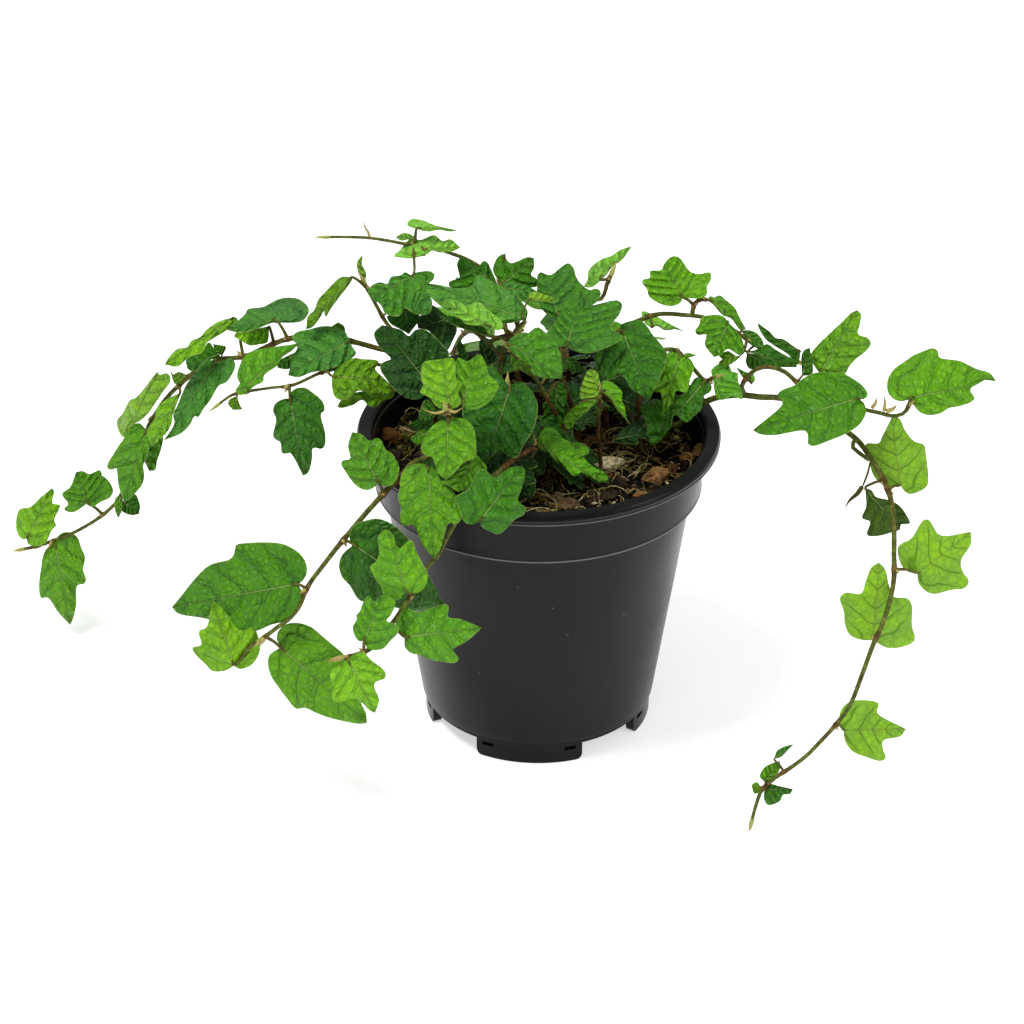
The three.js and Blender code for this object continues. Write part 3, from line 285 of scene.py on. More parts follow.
        "leaves": """
            dark 15.5 -10,50 7 | 498,286 491,269 487,262 483,261 478,267 471,261 466,258 460,257
                457,264 459,279 450,281 449,286 470,291;
            olive_dark 14 10,50 7 | 502,285 493,270 498,257 504,254 507,260 511,263 528,257 534,258
                534,268 531,275 537,279 537,286 528,287 509,282;
            bluish 8 5,60 4 | 500,287 505,282 516,283 528,286 538,292 530,297 522,300 510,294;
        """,
    },
    "crown_right_stem": {
        "root": (10, 8), "radius": (0.75, 0.5),
        "path": """
            560,372,2 562,355,0 564,338,2 562,324,5 566,310,9 578,303,12 590,300,14 601,299,15 605,292,15
            607,284,15 611,275,16
        """,
        "leaves": """
            medium_dark 3 5,55 5 | 560,318 547,314 538,302 537,286 538,274 541,272 550,275 560,268
                568,263 573,267 578,280 590,290 597,288 601,292 599,299 594,304 584,309;
            medium_dark -9 10,55 8 | 567,345 556,346 549,340 546,334 554,324 559,316 565,305 573,301
                579,305 587,309 604,303 617,300 622,304 620,313 611,326 613,330 620,334 622,338 616,343
                597,351 587,353 576,351;
            light 15 20,50 9 | 601,280 592,287 584,286 588,279 588,272 592,266 604,258 611,256 620,250
                632,246 622,260 613,266 607,274;
        """,
    },
    "inner_right_stem": {
        "root": (24, 2), "radius": (0.75, 0.5),
        "path": "640,395,1 648,372,2 660,352,4 674,350,6 688,362,6 700,376,4 706,381,3 713,378,2",
        "leaves": """
            dark 1 0,45 10 | 622,330 620,327 622,324 630,321 640,320 647,326 653,335 660,343 667,353
                667,359 650,399 641,395 631,388 624,377 617,374 610,380 603,377 597,367 594,357 597,351
                613,344;
            bright 4 0,40 8 | 680,355 672,351 667,354 664,362 657,364 654,372 655,392 660,392 662,415
                673,401 676,391 687,392 690,380 694,366 689,358;
            light 5 0,60 3 | 682,356 686,353 690,353 696,355 690,357;
            dark 1 -5,35 9 | 705,381 698,377 694,379 686,392 672,398 660,402 645,404 641,410 644,416
                650,446 660,440 671,426 674,415 681,419 687,422 695,415 701,409 704,396 711,391 711,384;
            light_medium 1 10,30 4 | 713,377 714,386 715,393 718,399 723,400 730,397 736,391 742,400
                742,391 738,380 738,373 731,371 730,366 722,363 715,366 711,371;
        """,
    },
    "inner_small_stem": {
        "root": (15, -10), "radius": (0.55, 0.4),
        "path": "598,424,-13 600,408,-14 600,397,-14",
        "leaves": """
            pale -15 -10,35 6 | 600,397 590,396 581,399 580,390 583,381 587,372 591,369 597,372
                600,382 603,391;
            bright -15 -20,30 5 | 599,397 591,400 579,404 568,412 564,419 566,429 570,429 575,422
                585,413 596,402;
            bright -15 20,35 7 | 601,391 603,381 611,382 622,392 622,401 625,407 626,415 630,424
                624,417 615,406 610,398;
        """,
    },
    "right_upper_stem": {
        "root": (17, 13), "radius": (0.75, 0.45),
        "path": """
            600,360,12 608,344,14 620,330,15 645,318,14 660,314,14 685,315,13 702,317,12 725,325,11
            742,336,10 757,346,10 778,357,11 797,362,11
        """,
        "twigs": [
            "686,313,13 694,305,14 701,299,15 707,300,15",
        ],
        "leaves": """
            light 11 0,50 4 | 652,328 646,324 642,317 642,311 684,331 676,329 665,330 657,326;
            bright 13 5,40 11 | 682,297 681,302 671,306 659,303 649,296 647,289 642,282 644,279
                650,278 650,271 661,270 664,264 669,258 675,256 681,259 685,265 691,272 700,274 710,272
                711,279 707,287 707,294 702,298 690,298;
            medium 15 20,50 7 | 708,300 710,296 716,298 719,295 726,300 735,308 739,316 746,329
                741,330 731,318 723,315 714,305;
            medium_dark 11 10,45 4 | 742,331 747,330 755,332 762,339 764,345 756,347 749,343;
            medium 7 -5,35 9 | 728,322 723,316 710,315 701,318 699,325 695,331 698,335 706,334 705,345
                714,357 720,355 728,349 734,352 739,355 744,351 742,339 736,330;
            olive 4 0,25 6 | 744,352 737,356 728,351 719,356 722,359 720,361 718,363 726,366 737,360;
            dark 7 0,50 6 | 745,351 755,350 767,344 775,349 785,355 794,360 797,367 786,367 770,366
                761,357 753,353;
            olive_dark 10 0,12 4 | 747,353 757,355 765,360 768,363 770,367 760,368 750,369 746,363;
            dark 9.5 10,65 10 | 800,351 800,357 797,365 788,354 777,347 771,343 766,339 761,332
                759,328 758,325 758,323 762,326 769,331 776,338 783,339 792,345;
        """,
    },
    "right_trailing_stem": {
        "root": (28, 8), "radius": (0.85, 0.45),
        "path": """
            678,425,9 690,412,8.5 700,405,8 715,398,7.5 740,395,6 760,397,4 780,398,2 800,404,0 825,418,-3
            850,434,-7 860,443,-9 870,457,-12 880,473,-14 888,490,-16 892,505,-18 894,530,-22 894,555,-26
            894,578,-30 890,600,-34 882,625,-38 873,645,-41 862,675,-45 850,705,-48 838,722,-50
            820,742,-52 805,757,-53.5 790,768,-54.5 775,778,-55.3 762,790,-55.3 756,805,-55.5
            752,820,-56.5
        """,
        "twigs": [
            "738,395,6 742,386,4 748,376,3 757,369,2 770,367,0 785,372,-1 800,385,-3 822,397,-5 "
            "845,405,-8 866,410,-9 880,413,-9 893,416,-8 904,413,-8 911,401,-8",
            "842,440,-6 852,446,-7 862,455,-9 869,460,-10",
        ],
        "leaves": """
            light 3 0,30 2 | 752,384 744,379 736,367 746,372 753,374 755,380;
            dark -1.4 0,30 3 | 802,376 802,354 806,349 810,348 811,356 813,367 812,374;
            mottled 0 10,42 7 | 820,373 812,362 810,356 815,348 831,332 842,322 851,313 857,310
                861,314 860,324 858,334 868,338 871,343 867,350 855,360 849,367 845,374 833,374;
            rich -11 0,45 13 | 859,398 864,399 868,395 863,386 852,378 842,373 828,372 814,373 802,379
                795,385 782,390 777,395 783,402 753,430 760,434 774,435 806,431 808,437 808,444 813,446
                828,441 845,434 859,425 866,413 865,405;
            bright -8 8,45 16 | 910,398 903,401 896,400 889,394 887,385 889,376 895,368 904,362
                912,356 926,350 933,348 938,351 939,357 960,361 977,369 990,373 996,381 987,379 980,383
                970,390 975,398 971,402 960,406 949,408 941,413 930,415 920,412 914,405;
            under_green -12 5,32 9 | 900,485 896,487 889,487 879,482 873,474 870,464 866,444 879,443
                882,437 892,417 899,418 905,430 914,441 924,445 926,455 928,484 924,489 909,494 903,489;
            wilted -14 0,10 8 | 865,488 872,491 876,497 888,500 897,504 904,511 910,524 902,523
                900,530 890,533 878,536 867,535 870,522 862,518 866,508 866,498;
            under_green -27 10,20 9 | 918,573 908,572 901,564 898,548 901,544 911,539 924,520 929,520
                940,535 971,532 971,544 961,561 963,572 969,581 965,588 951,590 933,594 923,589 918,581;
            under_green -32 0,5 10 | 873,640 862,640 850,635 845,624 844,612 840,598 846,593 861,594
                866,581 872,567 879,563 885,569 889,585 894,597 908,599 912,606 912,626 915,640 906,646
                888,648 879,644;
            under_green -46 15,20 7 | 844,730 840,723 841,711 850,702 872,701 879,704 877,712 906,729
                901,736 883,741 883,749 886,758 881,761 866,757 852,751 845,740;
            bluish -52 0,40 3 | 774,759 777,751 783,747 794,744 788,750 781,757;
            medium -54.5 0,35 4 | 765,782 760,777 763,769 770,764 780,761 780,769 772,780;
            dark -55.5 15,30 3 | 765,790 769,784 779,786 793,789 790,794 783,795 780,801 768,805
                764,798;
            olive -55.3 0,30 3 | 761,787 757,782 752,785 754,794 761,792;
        """,
    },
}

# The side away from the camera: paths in mm, and leaves that borrow the edge of a seen leaf. Each
# leaf names that leaf's stem and number, where it joins, where it points, where it faces and its
# size, and a semicolon ends it
hiddenStems = {
    "back_left_stem": {
        "root": (-10, 24), "radius": (0.8, 0.45),
        "path": "-12,31,83 -15,38,84.5 -18,44,82.5 -21,49.5,76 -23,52,66 -24,51,55 -25,49,45",
        "leaves": """
            front_left_stem 0 -14,35,87 205,25 170,60 0.8;
            front_stem 2 -18,48,83 215,-5 190,55 0.85;
            front_left_stem 3 -19,53,74 150,-35 185,30 0.75;
            front_cluster_stem 2 -26,53,68 230,-30 200,35 0.9;
            front_left_stem 0 -22,54,59 160,-60 178,20 0.85;
            front_stem 3 -27,51,50 215,-50 195,25 0.9;
            front_left_stem 1 -24.5,50,43 185,-70 185,12 0.8;
        """,
    },
    "back_middle_stem": {
        "root": (8, 27), "radius": (0.75, 0.45),
        "path": "7,32,84 6,38,86 5,44,84 5,50,77 6,53,67 6.5,52.5,58",
        "leaves": """
            front_stem 1 5,36,89 150,20 185,65 0.8;
            front_left_stem 1 2,47.5,87.5 200,-5 180,50 0.8;
            front_stem 2 8,53,75 140,-35 175,35 0.9;
            front_left_stem 2 3,54,69 210,-45 190,25 0.62;
            front_cluster_stem 0 9,55,62 150,-55 172,18 0.95;
            front_left_stem 0 6,54,56 190,-75 185,10 0.8;
        """,
    },
    "back_right_stem": {
        "root": (20, 24), "radius": (0.7, 0.45),
        "path": "19,31,81 19,38,82.5 20,43.5,81.5 23,47.5,76 27,48.5,68 29,47,60",
        "leaves": """
            front_cluster_stem 1 17,35,85 190,20 170,65 0.8;
            front_stem 3 24,45,80 120,-15 160,50 0.8;
            front_left_stem 1 21.5,50,75 190,-40 172,30 0.8;
            front_stem 2 30,48.5,69 120,-40 155,30 0.8;
            front_left_stem 0 28,49,60 180,-65 165,15 0.8;
        """,
    },
}


# Curves and sight lines
def readPoints(text):
    return np.array([[float(n) for n in item.split(",")] for item in text.split()])


def leafEntries(text):
    # one line of text for each leaf, however many lines it has in the list
    return [" ".join(part.split()) for part in text.split(";") if part.strip()]


def unit(vectors):
    return vectors / np.maximum(np.linalg.norm(vectors, axis=-1, keepdims=True), 1e-9)


def sightLine(points):
    # from the eye through picture points: forward * focal + right * x + up * y, made unit length
    side = (points[..., 0:1] - view["centre"]) * np.array([1.0, 0.0, 0.0])
    rise = (view["centre"] - points[..., 1:2]) * upward
    return unit(forward * view["focal"] + side + rise)


def atDepth(points):
    # where each sight line reaches its depth y
    line = sightLine(points)
    return eye + line * ((points[..., 2:3] - eye[1]) / line[..., 1:2])


def fromAngles(text):
    # azimuth and elevation in degrees: azimuth 0 looks to the front, and positive turns right
    turn, rise = [math.radians(float(n)) for n in text.split(",")]
    return np.array([math.sin(turn) * math.cos(rise), -math.cos(turn) * math.cos(rise), math.sin(rise)])


def curveThrough(points, perLeg=10):
    # centripetal Catmull-Rom: each leg is a cubic with slopes from its neighbours' distances
    padded = np.vstack([2 * points[0] - points[1], points, 2 * points[-1] - points[-2]])
    a, b, c, d = padded[:-3], padded[1:-2], padded[2:-1], padded[3:]
    legs = [(a, b), (b, c), (c, d)]
    gap = [np.maximum(np.linalg.norm(q - p, axis=1, keepdims=True), 1e-6) ** 0.5 for p, q in legs]
    slopeB = ((b - a) / gap[0] - (c - a) / (gap[0] + gap[1]) + (c - b) / gap[1]) * gap[1]
    slopeC = ((c - b) / gap[1] - (d - b) / (gap[1] + gap[2]) + (d - c) / gap[2]) * gap[1]
    t = np.linspace(0, 1, perLeg, endpoint=False).reshape(1, -1, 1)
    b, c, slopeB, slopeC = b[:, None], c[:, None], slopeB[:, None], slopeC[:, None]
    second, third = 3 * (c - b) - 2 * slopeB - slopeC, 2 * (b - c) + slopeB + slopeC
    curve = b + slopeB * t + second * t**2 + third * t**3
    return np.vstack([curve.reshape(-1, points.shape[1]), points[-1:]])


def evenly(curve, count):
    # count points at equal distances along the curve
    travelled = np.concatenate([[0], np.cumsum(np.linalg.norm(np.diff(curve, axis=0), axis=1))])
    wanted = np.linspace(0, travelled[-1], count)
    return np.stack([np.interp(wanted, travelled, curve[:, k]) for k in range(curve.shape[1])], axis=1)


def smoothed(values, times):
    # running mean of three with double weight in the middle, and the ends kept
    for _ in range(times):
        middle = (values[:-2] + 2 * values[1:-1] + values[2:]) / 4
        values = np.concatenate([values[:1], middle, values[-1:]])
    return values


# Meshes
def makePiece(name, shapes, materials, replaced=None):
    # joins shapes into one mesh. Each holds corner points, four- and three-sided faces, the place of
    # their material, whether they are flat, and fields, which are values at the points
    widths = {key: value.shape[1] for shape in shapes for key, value in shape["fields"].items()}
    values = {key: [] for key in widths}
    faces, slots, flats = ({"quad": [], "tri": []} for _ in range(3))
    points, start = [], 0
    for shape in shapes:
        count = len(shape["points"])
        points.append(shape["points"])
        for kind in faces:
            some = shape[kind + "s"]
            slotHere = shape.get(kind + "Slots", shape.get("slot", 0))
            flatHere = shape.get(kind + "Flat", shape.get("flat", False))
            faces[kind].append(some + start)
            slots[kind].append(np.broadcast_to(slotHere, len(some)))
            flats[kind].append(np.broadcast_to(flatHere, len(some)))
        for key, width in widths.items():
            values[key].append(shape["fields"].get(key, np.zeros((count, width))))
        start += count
    faces = faces["quad"] + faces["tri"]
    sizes = np.concatenate([np.full(len(some), some.shape[1]) for some in faces])
    used, corners = np.unique(np.concatenate([some.ravel() for some in faces]), return_inverse=True)
    spots = np.concatenate(points)[used] / 1000.0 + potAxis
    spots[:, 2] = np.maximum(spots[:, 2], 0.00005)  # nothing goes below the floor
    mesh = bpy.data.meshes.new(name)
    mesh.vertices.add(len(used))
    mesh.vertices.foreach_set("co", spots.ravel())
    mesh.loops.add(len(corners))
    mesh.loops.foreach_set("vertex_index", corners.astype(np.int32))
    mesh.polygons.add(len(sizes))
    mesh.polygons.foreach_set("loop_start", np.cumsum(sizes) - sizes)
    mesh.polygons.foreach_set("material_index", np.concatenate(slots["quad"] + slots["tri"]).astype(np.int32))
    mesh.update(calc_edges=True)
    mesh.polygons.foreach_set("use_smooth", ~np.concatenate(flats["quad"] + flats["tri"]).astype(bool))
    kinds = {1: ("FLOAT", "value"), 3: ("FLOAT_VECTOR", "vector"), 4: ("FLOAT_COLOR", "color")}
    for key, width in widths.items():
        kind, member = kinds[width]
        layer = mesh.attributes.new(key, kind, "POINT")
        layer.data.foreach_set(member, np.concatenate(values[key])[used].ravel())
    for material in materials:
        mesh.materials.append(material)
    piece = bpy.data.objects.new(name, mesh)
    bpy.context.scene.collection.objects.link(piece)
    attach(piece, "root")
    if replaced:
        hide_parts(replaced)
    return piece


def closedRings(rings, starts, ends, fields=None, **settings):
    # runs of rings joined by four-sided faces, closed by a point at both ends; each ring turns
    # anticlockwise as seen from the next one
    runs, steps, sides = rings.shape[:3]
    points = np.concatenate([rings.reshape(runs, -1, 3), starts[:, None], ends[:, None]], axis=1)
    index = np.arange(steps * sides).reshape(steps, sides)
    after = np.roll(index, -1, axis=1)
    quads = np.stack([index[:-1], after[:-1], after[1:], index[1:]], axis=-1).reshape(-1, 4)
    first, last = np.full(sides, steps * sides), np.full(sides, steps * sides + 1)
    startFan = np.stack([first, after[0], index[0]], axis=1)
    endFan = np.stack([last, index[-1], after[-1]], axis=1)
    shift = (np.arange(runs) * (steps * sides + 2))[:, None, None]
    atPoints = {}
    for key, value in (fields or {}).items():
        own = np.concatenate([np.repeat(value, sides, axis=1), value[:, :1], value[:, -1:]], axis=1)
        atPoints[key] = own.reshape(-1, value.shape[2])
    return {
        "points": points.reshape(-1, 3),
        "quads": (quads + shift).reshape(-1, 4),
        "tris": (np.concatenate([startFan, endFan]) + shift).reshape(-1, 3),
        "fields": atPoints, **settings,
    }


def tubes(paths, radii, sides, fields=None, slot=0):
    # a circle of the given radius carried along each path:
    # centre + radius * (cos(turn) * normal + sin(turn) * binormal)
    tangent = unit(np.gradient(paths, axis=1))
    flattest = np.linalg.svd(tangent, full_matrices=False)[2][:, -1]
    normal = unit(np.cross(tangent, flattest[:, None]))
    binormal = np.cross(tangent, normal)
    turn = np.arange(sides) * 2 * math.pi / sides
    ring = np.cos(turn)[:, None] * normal[:, :, None] + np.sin(turn)[:, None] * binormal[:, :, None]
    rings = paths[:, :, None] + ring * radii[:, :, None, None]
    return closedRings(rings, paths[:, 0], paths[:, -1], fields, slot=slot)


def lathe(profile, steps):
    # radius and height turned about the pot's axis, closed on the axis at both ends
    turn = np.arange(steps) * 2 * math.pi / steps
    radius, height = profile[1:-1, None, 0], profile[1:-1, None, 1]
    rings = np.stack([radius * np.cos(turn), radius * np.sin(turn), height + 0 * turn], axis=-1)
    axis = np.array([[0, 0, profile[0, 1]], [0, 0, profile[-1, 1]]])
    return closedRings(rings[None], axis[:1], axis[1:])


def lumps(random, centres, sizes, turns, uneven, fields, steps=5, sides=7):
    # a small ball with an uneven skin: radius * (1 + noise), stretched to its sizes and turned
    count = len(centres)
    rise = np.linspace(0, math.pi, steps + 2)[1:-1, None]
    around = np.arange(sides) * 2 * math.pi / sides
    level = -np.cos(rise) + 0 * around
    ball = np.stack([np.sin(rise) * np.cos(around), np.sin(rise) * np.sin(around), level], axis=-1)
    skin = 1 + random.uniform(-uneven, uneven, (count, steps, sides, 1))
    local = ball * skin * sizes[:, None, None]
    cosine, sine = np.cos(turns)[:, None, None], np.sin(turns)[:, None, None]
    x = local[..., 0] * cosine - local[..., 1] * sine
    y = local[..., 0] * sine + local[..., 1] * cosine
    rings = np.stack([x, y, local[..., 2]], axis=-1) + centres[:, None, None]
    pole = np.zeros((count, 3))
    pole[:, 2] = 0.95 * sizes[:, 2]
    return closedRings(rings, centres - pole, centres + pole, fields, flat=True)


# Materials. Colours are sRGB hex values, turned to linear here
def linear(text):
    parts = np.array([int(text[k : k + 2], 16) for k in (1, 3, 5)]) / 255.0
    parts = np.where(parts <= 0.04045, parts / 12.92, ((parts + 0.055) / 1.055) ** 2.4)
    return (*parts.tolist(), 1.0)


def newMaterial(name):
    # gives the material and the function that adds a node to it: inputs are values or other nodes'
    # outputs, by place or name, stops are a ramp's places and colours, and out picks the output
    material = bpy.data.materials.new(name)
    material.use_nodes = True
    tree = material.node_tree
    tree.nodes.clear()

    def node(kind, inputs=(), out=0, stops=(), **settings):
        made = tree.nodes.new("ShaderNode" + kind)
        for key, value in settings.items():
            setattr(made, key, value)
        marks = made.color_ramp.elements if stops else []
        while len(marks) < len(stops):
            marks.new(0.5)
        for mark, (place, colour) in zip(marks, stops):
            mark.position, mark.color = place, linear(colour)
        pairs = inputs.items() if isinstance(inputs, dict) else enumerate(inputs)
        for key, value in pairs:
            if isinstance(value, bpy.types.NodeSocket):
                tree.links.new(value, made.inputs[key])
            else:
                made.inputs[key].default_value = value
        return made.outputs[out] if len(made.outputs) else made

    return material, node


def surface(node, colour, roughness, height=None, relief=0.2, **sockets):
    # the shader at the end, its bump as deep as relief in mm, and sockets that are the same all over
    inputs = {"Base Color": colour, "Roughness": roughness}
    inputs.update({key.replace("_", " "): value for key, value in sockets.items()})
    if height is not None:
        inputs["Normal"] = node("Bump", {"Strength": 1.0, "Distance": relief / 1000.0, "Height": height})
    node("OutputMaterial", {"Surface": node("BsdfPrincipled", inputs)})


mixColours = {"data_type": "RGBA", "out": 2}  # a Mix node's inputs 0, 6 and 7 are factor and colours
easing = {"interpolation_type": "SMOOTHSTEP"}  # value, low, high, and what low and high become
product, total = {"operation": "MULTIPLY"}, {"operation": "ADD"}
difference, larger = {"operation": "SUBTRACT"}, {"operation": "MAXIMUM"}
bare, above = {"operation": "ABSOLUTE"}, {"operation": "GREATER_THAN"}
everyOutput, firstTwo = slice(None), slice(0, 2)

# The form of a blade: counts, shares of its length, and heights in mm
leafLooks = {
    "rows": 44, "edgeSamples": 200, "lean": 0.55, "arch": 0.06, "fold": 0.15, "thickness": 0.34,
    "quilt": 0.42, "quiltedTimes": 1.7, "veinCount": 4.6, "wave": 0.5, "groove": 0.2, "grooveMm": 0.8,
    "rib": 0.34, "ribMm": 0.42, "edgeThinner": 0.35, "grownMm": 22.0, "underColour": "#8fae4a",
}

# A fig blade is a living cuticle over quilted tissue. Side veins and a net of finer ones lie sunk in the
# upper side; they get painted shade as dark grooves, the cushions between them get a painted highlight, and a
# strip beside the veins and the midrib gets painted shade.
# The midrib is pale near its base, and the cuticle gives a soft satin gloss
bladeLooks = {
    "midribMm": 0.15, "sideVeinMm": 0.11, "rowMm": 4.4, "netMm": 1.9, "wanderMm": 7.0, "speckEveryMm": 3.6,
    "speckMm": 0.12, "cloudPerMm": 0.17, "grainPerMm": 1.6, "marginShare": 0.97, "sideVeinShadeStrength": 0.7,
    "netDark": 0.22, "besideShadeStrength": 0.26, "cushionHighlightStrength": 0.4, "cloudLight": 0.5, "grainDark": 0.25,
    "ribPale": 0.55, "upperRelief": 1.1, "underRelief": 0.3, "roughness": 0.42, "underRoughness": 0.55,
    "veinColour": "#a5bf6a", "marginColour": "#9cbb5c", "ribColour": "#7f9a3c", "speckColour": "#dfe6c4",
}


def bladeMaterial(name, under):
    # veinPlace holds the row number between side veins, the share of the way to the edge, and the
    # mm from the midrib. Side veins lie where the row number, bent by noise and toward the tip, is
    # whole, and the net follows the edges of cells
    material, node = newMaterial(name)
    looks = bladeLooks
    grid = node("Attribute", out=1, attribute_name="veinPlace")
    phase, share, across = node("SeparateXYZ", [grid], everyOutput)
    flat = node("Attribute", out=1, attribute_name="bladePlace")
    tint = node("Attribute", attribute_name="tone")
    cloud = node("TexNoise", {"Vector": flat, "Scale": looks["cloudPerMm"], "Detail": 4.0})
    grain = node("TexNoise", {"Vector": flat, "Scale": looks["grainPerMm"], "Detail": 4.0})
    wander = node("TexNoise", {"Vector": flat, "Scale": 1.0 / looks["wanderMm"], "Detail": 2.0})
    bend = node("Math", [node("Math", [wander, 0.5], **difference), 0.8], **product)
    arc = node("Math", [node("Math", [share, 2.0], operation="POWER"), -0.35], **product)
    bent = node("Math", [node("Math", [phase, bend], **total), node("Math", [arc, 0.5], **total)], **total)
    offWhole = node("Math", [node("Math", [bent], operation="FRACT"), 0.5], **difference)
    offVein = node("Math", [offWhole], **bare)  # 0 on a side vein, 0.5 between two
    sideMm = node("Math", [offVein, looks["rowMm"]], **product)
    wide, rib = looks["sideVeinMm"], looks["midribMm"]
    sideVein = node("MapRange", [sideMm, wide * 0.5, wide * 2.4, 1.0, 0.0], **easing)
    towardEdge = node("MapRange", [share, 0.7, 0.97, 1.0, 0.1], **easing)
    sideVein = node("Math", [sideVein, towardEdge], **product)
    midrib = node("MapRange", [across, rib * 0.7, rib * 1.6, 1.0, 0.0], **easing)
    waver = node("TexNoise", {"Vector": flat, "Scale": 0.5}, 1)
    warp = node("Mix", {0: 0.12, 6: flat, 7: waver}, blend_type="ADD", **mixColours)
    net = node("TexVoronoi", {"Vector": warp, "Scale": 1.0 / looks["netMm"]}, feature="DISTANCE_TO_EDGE")
    netLine = node("MapRange", [net, 0.02, 0.13, 1.0, 0.0], **easing)
    cushion = node("MapRange", [net, 0.0, 0.34, 0.0, 1.0], **easing)
    puff = node("MapRange", [offVein, 0.0, 0.36, 0.0, 1.0], **easing)  # tissue between side veins stands up
    # light and deep are lighter and darker copies of the tone: light serves random patches and the painted
    # highlight on the cushions, deep serves random grain and the painted shade of the grooves
    light = node("HueSaturation", {"Hue": 0.49, "Saturation": 1.08, "Value": 1.38, "Color": tint})
    deep = node("HueSaturation", {"Hue": 0.502, "Saturation": 1.15, "Value": 0.42, "Color": tint})
    lit = node("MapRange", [cloud, 0.4, 0.64, 0.0, looks["cloudLight"]], **easing)
    colour = node("Mix", {0: lit, 6: tint, 7: light}, **mixColours)
    # painted highlight: the raised cushions between the veins are mixed toward the lighter copy of the tone
    lit = node("Math", [node("Math", [cushion, puff], **product), looks["cushionHighlightStrength"]], **product)
    colour = node("Mix", {0: lit, 6: colour, 7: light}, **mixColours)
    shaded = node("MapRange", [grain, 0.42, 0.7, 0.0, looks["grainDark"]], **easing)
    colour = node("Mix", {0: shaded, 6: colour, 7: deep}, **mixColours)
    # painted shade: side veins and the net are darkened for the shade in their sunk grooves, and the
    # underside gets the same darkening
    sideVeinShade = node("Math", [sideVein, looks["sideVeinShadeStrength"]], **product)
    veins = node("Math", [sideVeinShade, node("Math", [netLine, looks["netDark"]], **product)], **larger)
    colour = node("Mix", {0: veins, 6: colour, 7: deep}, **mixColours)
    if under:
        ribShare = node("Math", [midrib, 0.6], **product)
        colour = node("Mix", {0: ribShare, 6: colour, 7: linear(looks["ribColour"])}, **mixColours)
        raised = node("Math", [midrib, 0.7], **product)
        height = node("Math", [raised, node("Math", [veins, 0.9], **product)], **total)
        rough, relief = looks["underRoughness"], looks["underRelief"]
        surface(node, colour, rough, height, relief, IOR=1.42, Specular_IOR_Level=0.2)
        return material
    # painted shade: a strip beside the side veins and beside the midrib is darkened
    beside = node("MapRange", [sideMm, wide, wide * 4.5, 1.0, 0.0], **easing)
    beside = node("Math", [beside, node("MapRange", [across, 0.15, 0.8, 1.0, 0.0], **easing)], **larger)
    shaded = node("Math", [beside, looks["besideShadeStrength"]], **product)
    colour = node("Mix", {0: shaded, 6: colour, 7: deep}, **mixColours)
    fading = node("MapRange", [phase, 0.3, leafLooks["veinCount"] * 0.75, looks["ribPale"], 0.08], **easing)
    ribShare = node("Math", [midrib, fading], **product)
    colour = node("Mix", {0: ribShare, 6: colour, 7: linear(looks["veinColour"])}, **mixColours)
    margin = node("MapRange", [share, looks["marginShare"], 1.0, 0.0, 0.6], **easing)
    colour = node("Mix", {0: margin, 6: colour, 7: linear(looks["marginColour"])}, **mixColours)
    every, own = node("TexVoronoi", {"Vector": flat, "Scale": 1.0 / looks["speckEveryMm"]}, firstTwo)
    some = node("Math", [node("SeparateXYZ", [own]), 0.5], **above)
    reach = looks["speckMm"] / looks["speckEveryMm"]
    dot = node("MapRange", [every, reach * 0.6, reach * 1.3, 0.75, 0.0], **easing)
    dot = node("Math", [dot, some], **product)
    colour = node("Mix", {0: dot, 6: colour, 7: linear(looks["speckColour"])}, **mixColours)
    raised = node("Math", [puff, 0.55], **product)
    height = node("Math", [raised, node("Math", [cushion, 0.42], **product)], **total)
    height = node("Math", [height, node("Math", [grain, 0.3], **product)], **total)
    height = node("Math", [height, node("Math", [midrib, 0.35], **product)], **difference)
    smooth, dull = looks["roughness"] - 0.05, looks["roughness"] + 0.1
    rough = node("MapRange", [grain, 0.3, 0.7, smooth, dull], **easing)
    surface(node, colour, rough, height, looks["upperRelief"], IOR=1.44, Specular_IOR_Level=0.3)
    return material


def stemMaterial():
    # young fig stems are green under a brown, short-haired bark that is dense at the joints; low in the
    # crown, where woody goes past 1, the bark is painted nearly black as shade under the leaves
    material, node = newMaterial("figStemHairyBarkAndCrownShade")
    place = node("TexCoord", out="Object")
    woody = node("Attribute", out=2, attribute_name="woody")
    streak = node("TexNoise", {"Vector": place, "Scale": 900.0, "Detail": 4.0})
    patch = node("TexNoise", {"Vector": place, "Scale": 140.0, "Detail": 3.0})
    patchy = node("MapRange", [patch, 0.45, 0.7, 0.0, 0.45], **easing)
    brown = node("Math", [woody, patchy], use_clamp=True, **total)
    green = node("ValToRGB", [streak], stops=[(0.25, "#303c0e"), (0.5, "#4e591a"), (0.75, "#6f7730")])
    bark = node("ValToRGB", [streak], stops=[(0.25, "#2a1b0a"), (0.5, "#4f3516"), (0.75, "#86602e")])
    colour = node("Mix", {0: brown, 6: green, 7: bark}, **mixColours)
    # painted shade: past 1, woody mixes the bark toward near black, for the shade low in the crown
    damp = node("MapRange", [woody, 1.0, 2.0, 0.0, 0.85], **easing)
    colour = node("Mix", {0: damp, 6: colour, 7: linear("#14120a")}, **mixColours)
    surface(node, colour, 0.6, streak, 0.15, IOR=1.45, Specular_IOR_Level=0.2)
    return material


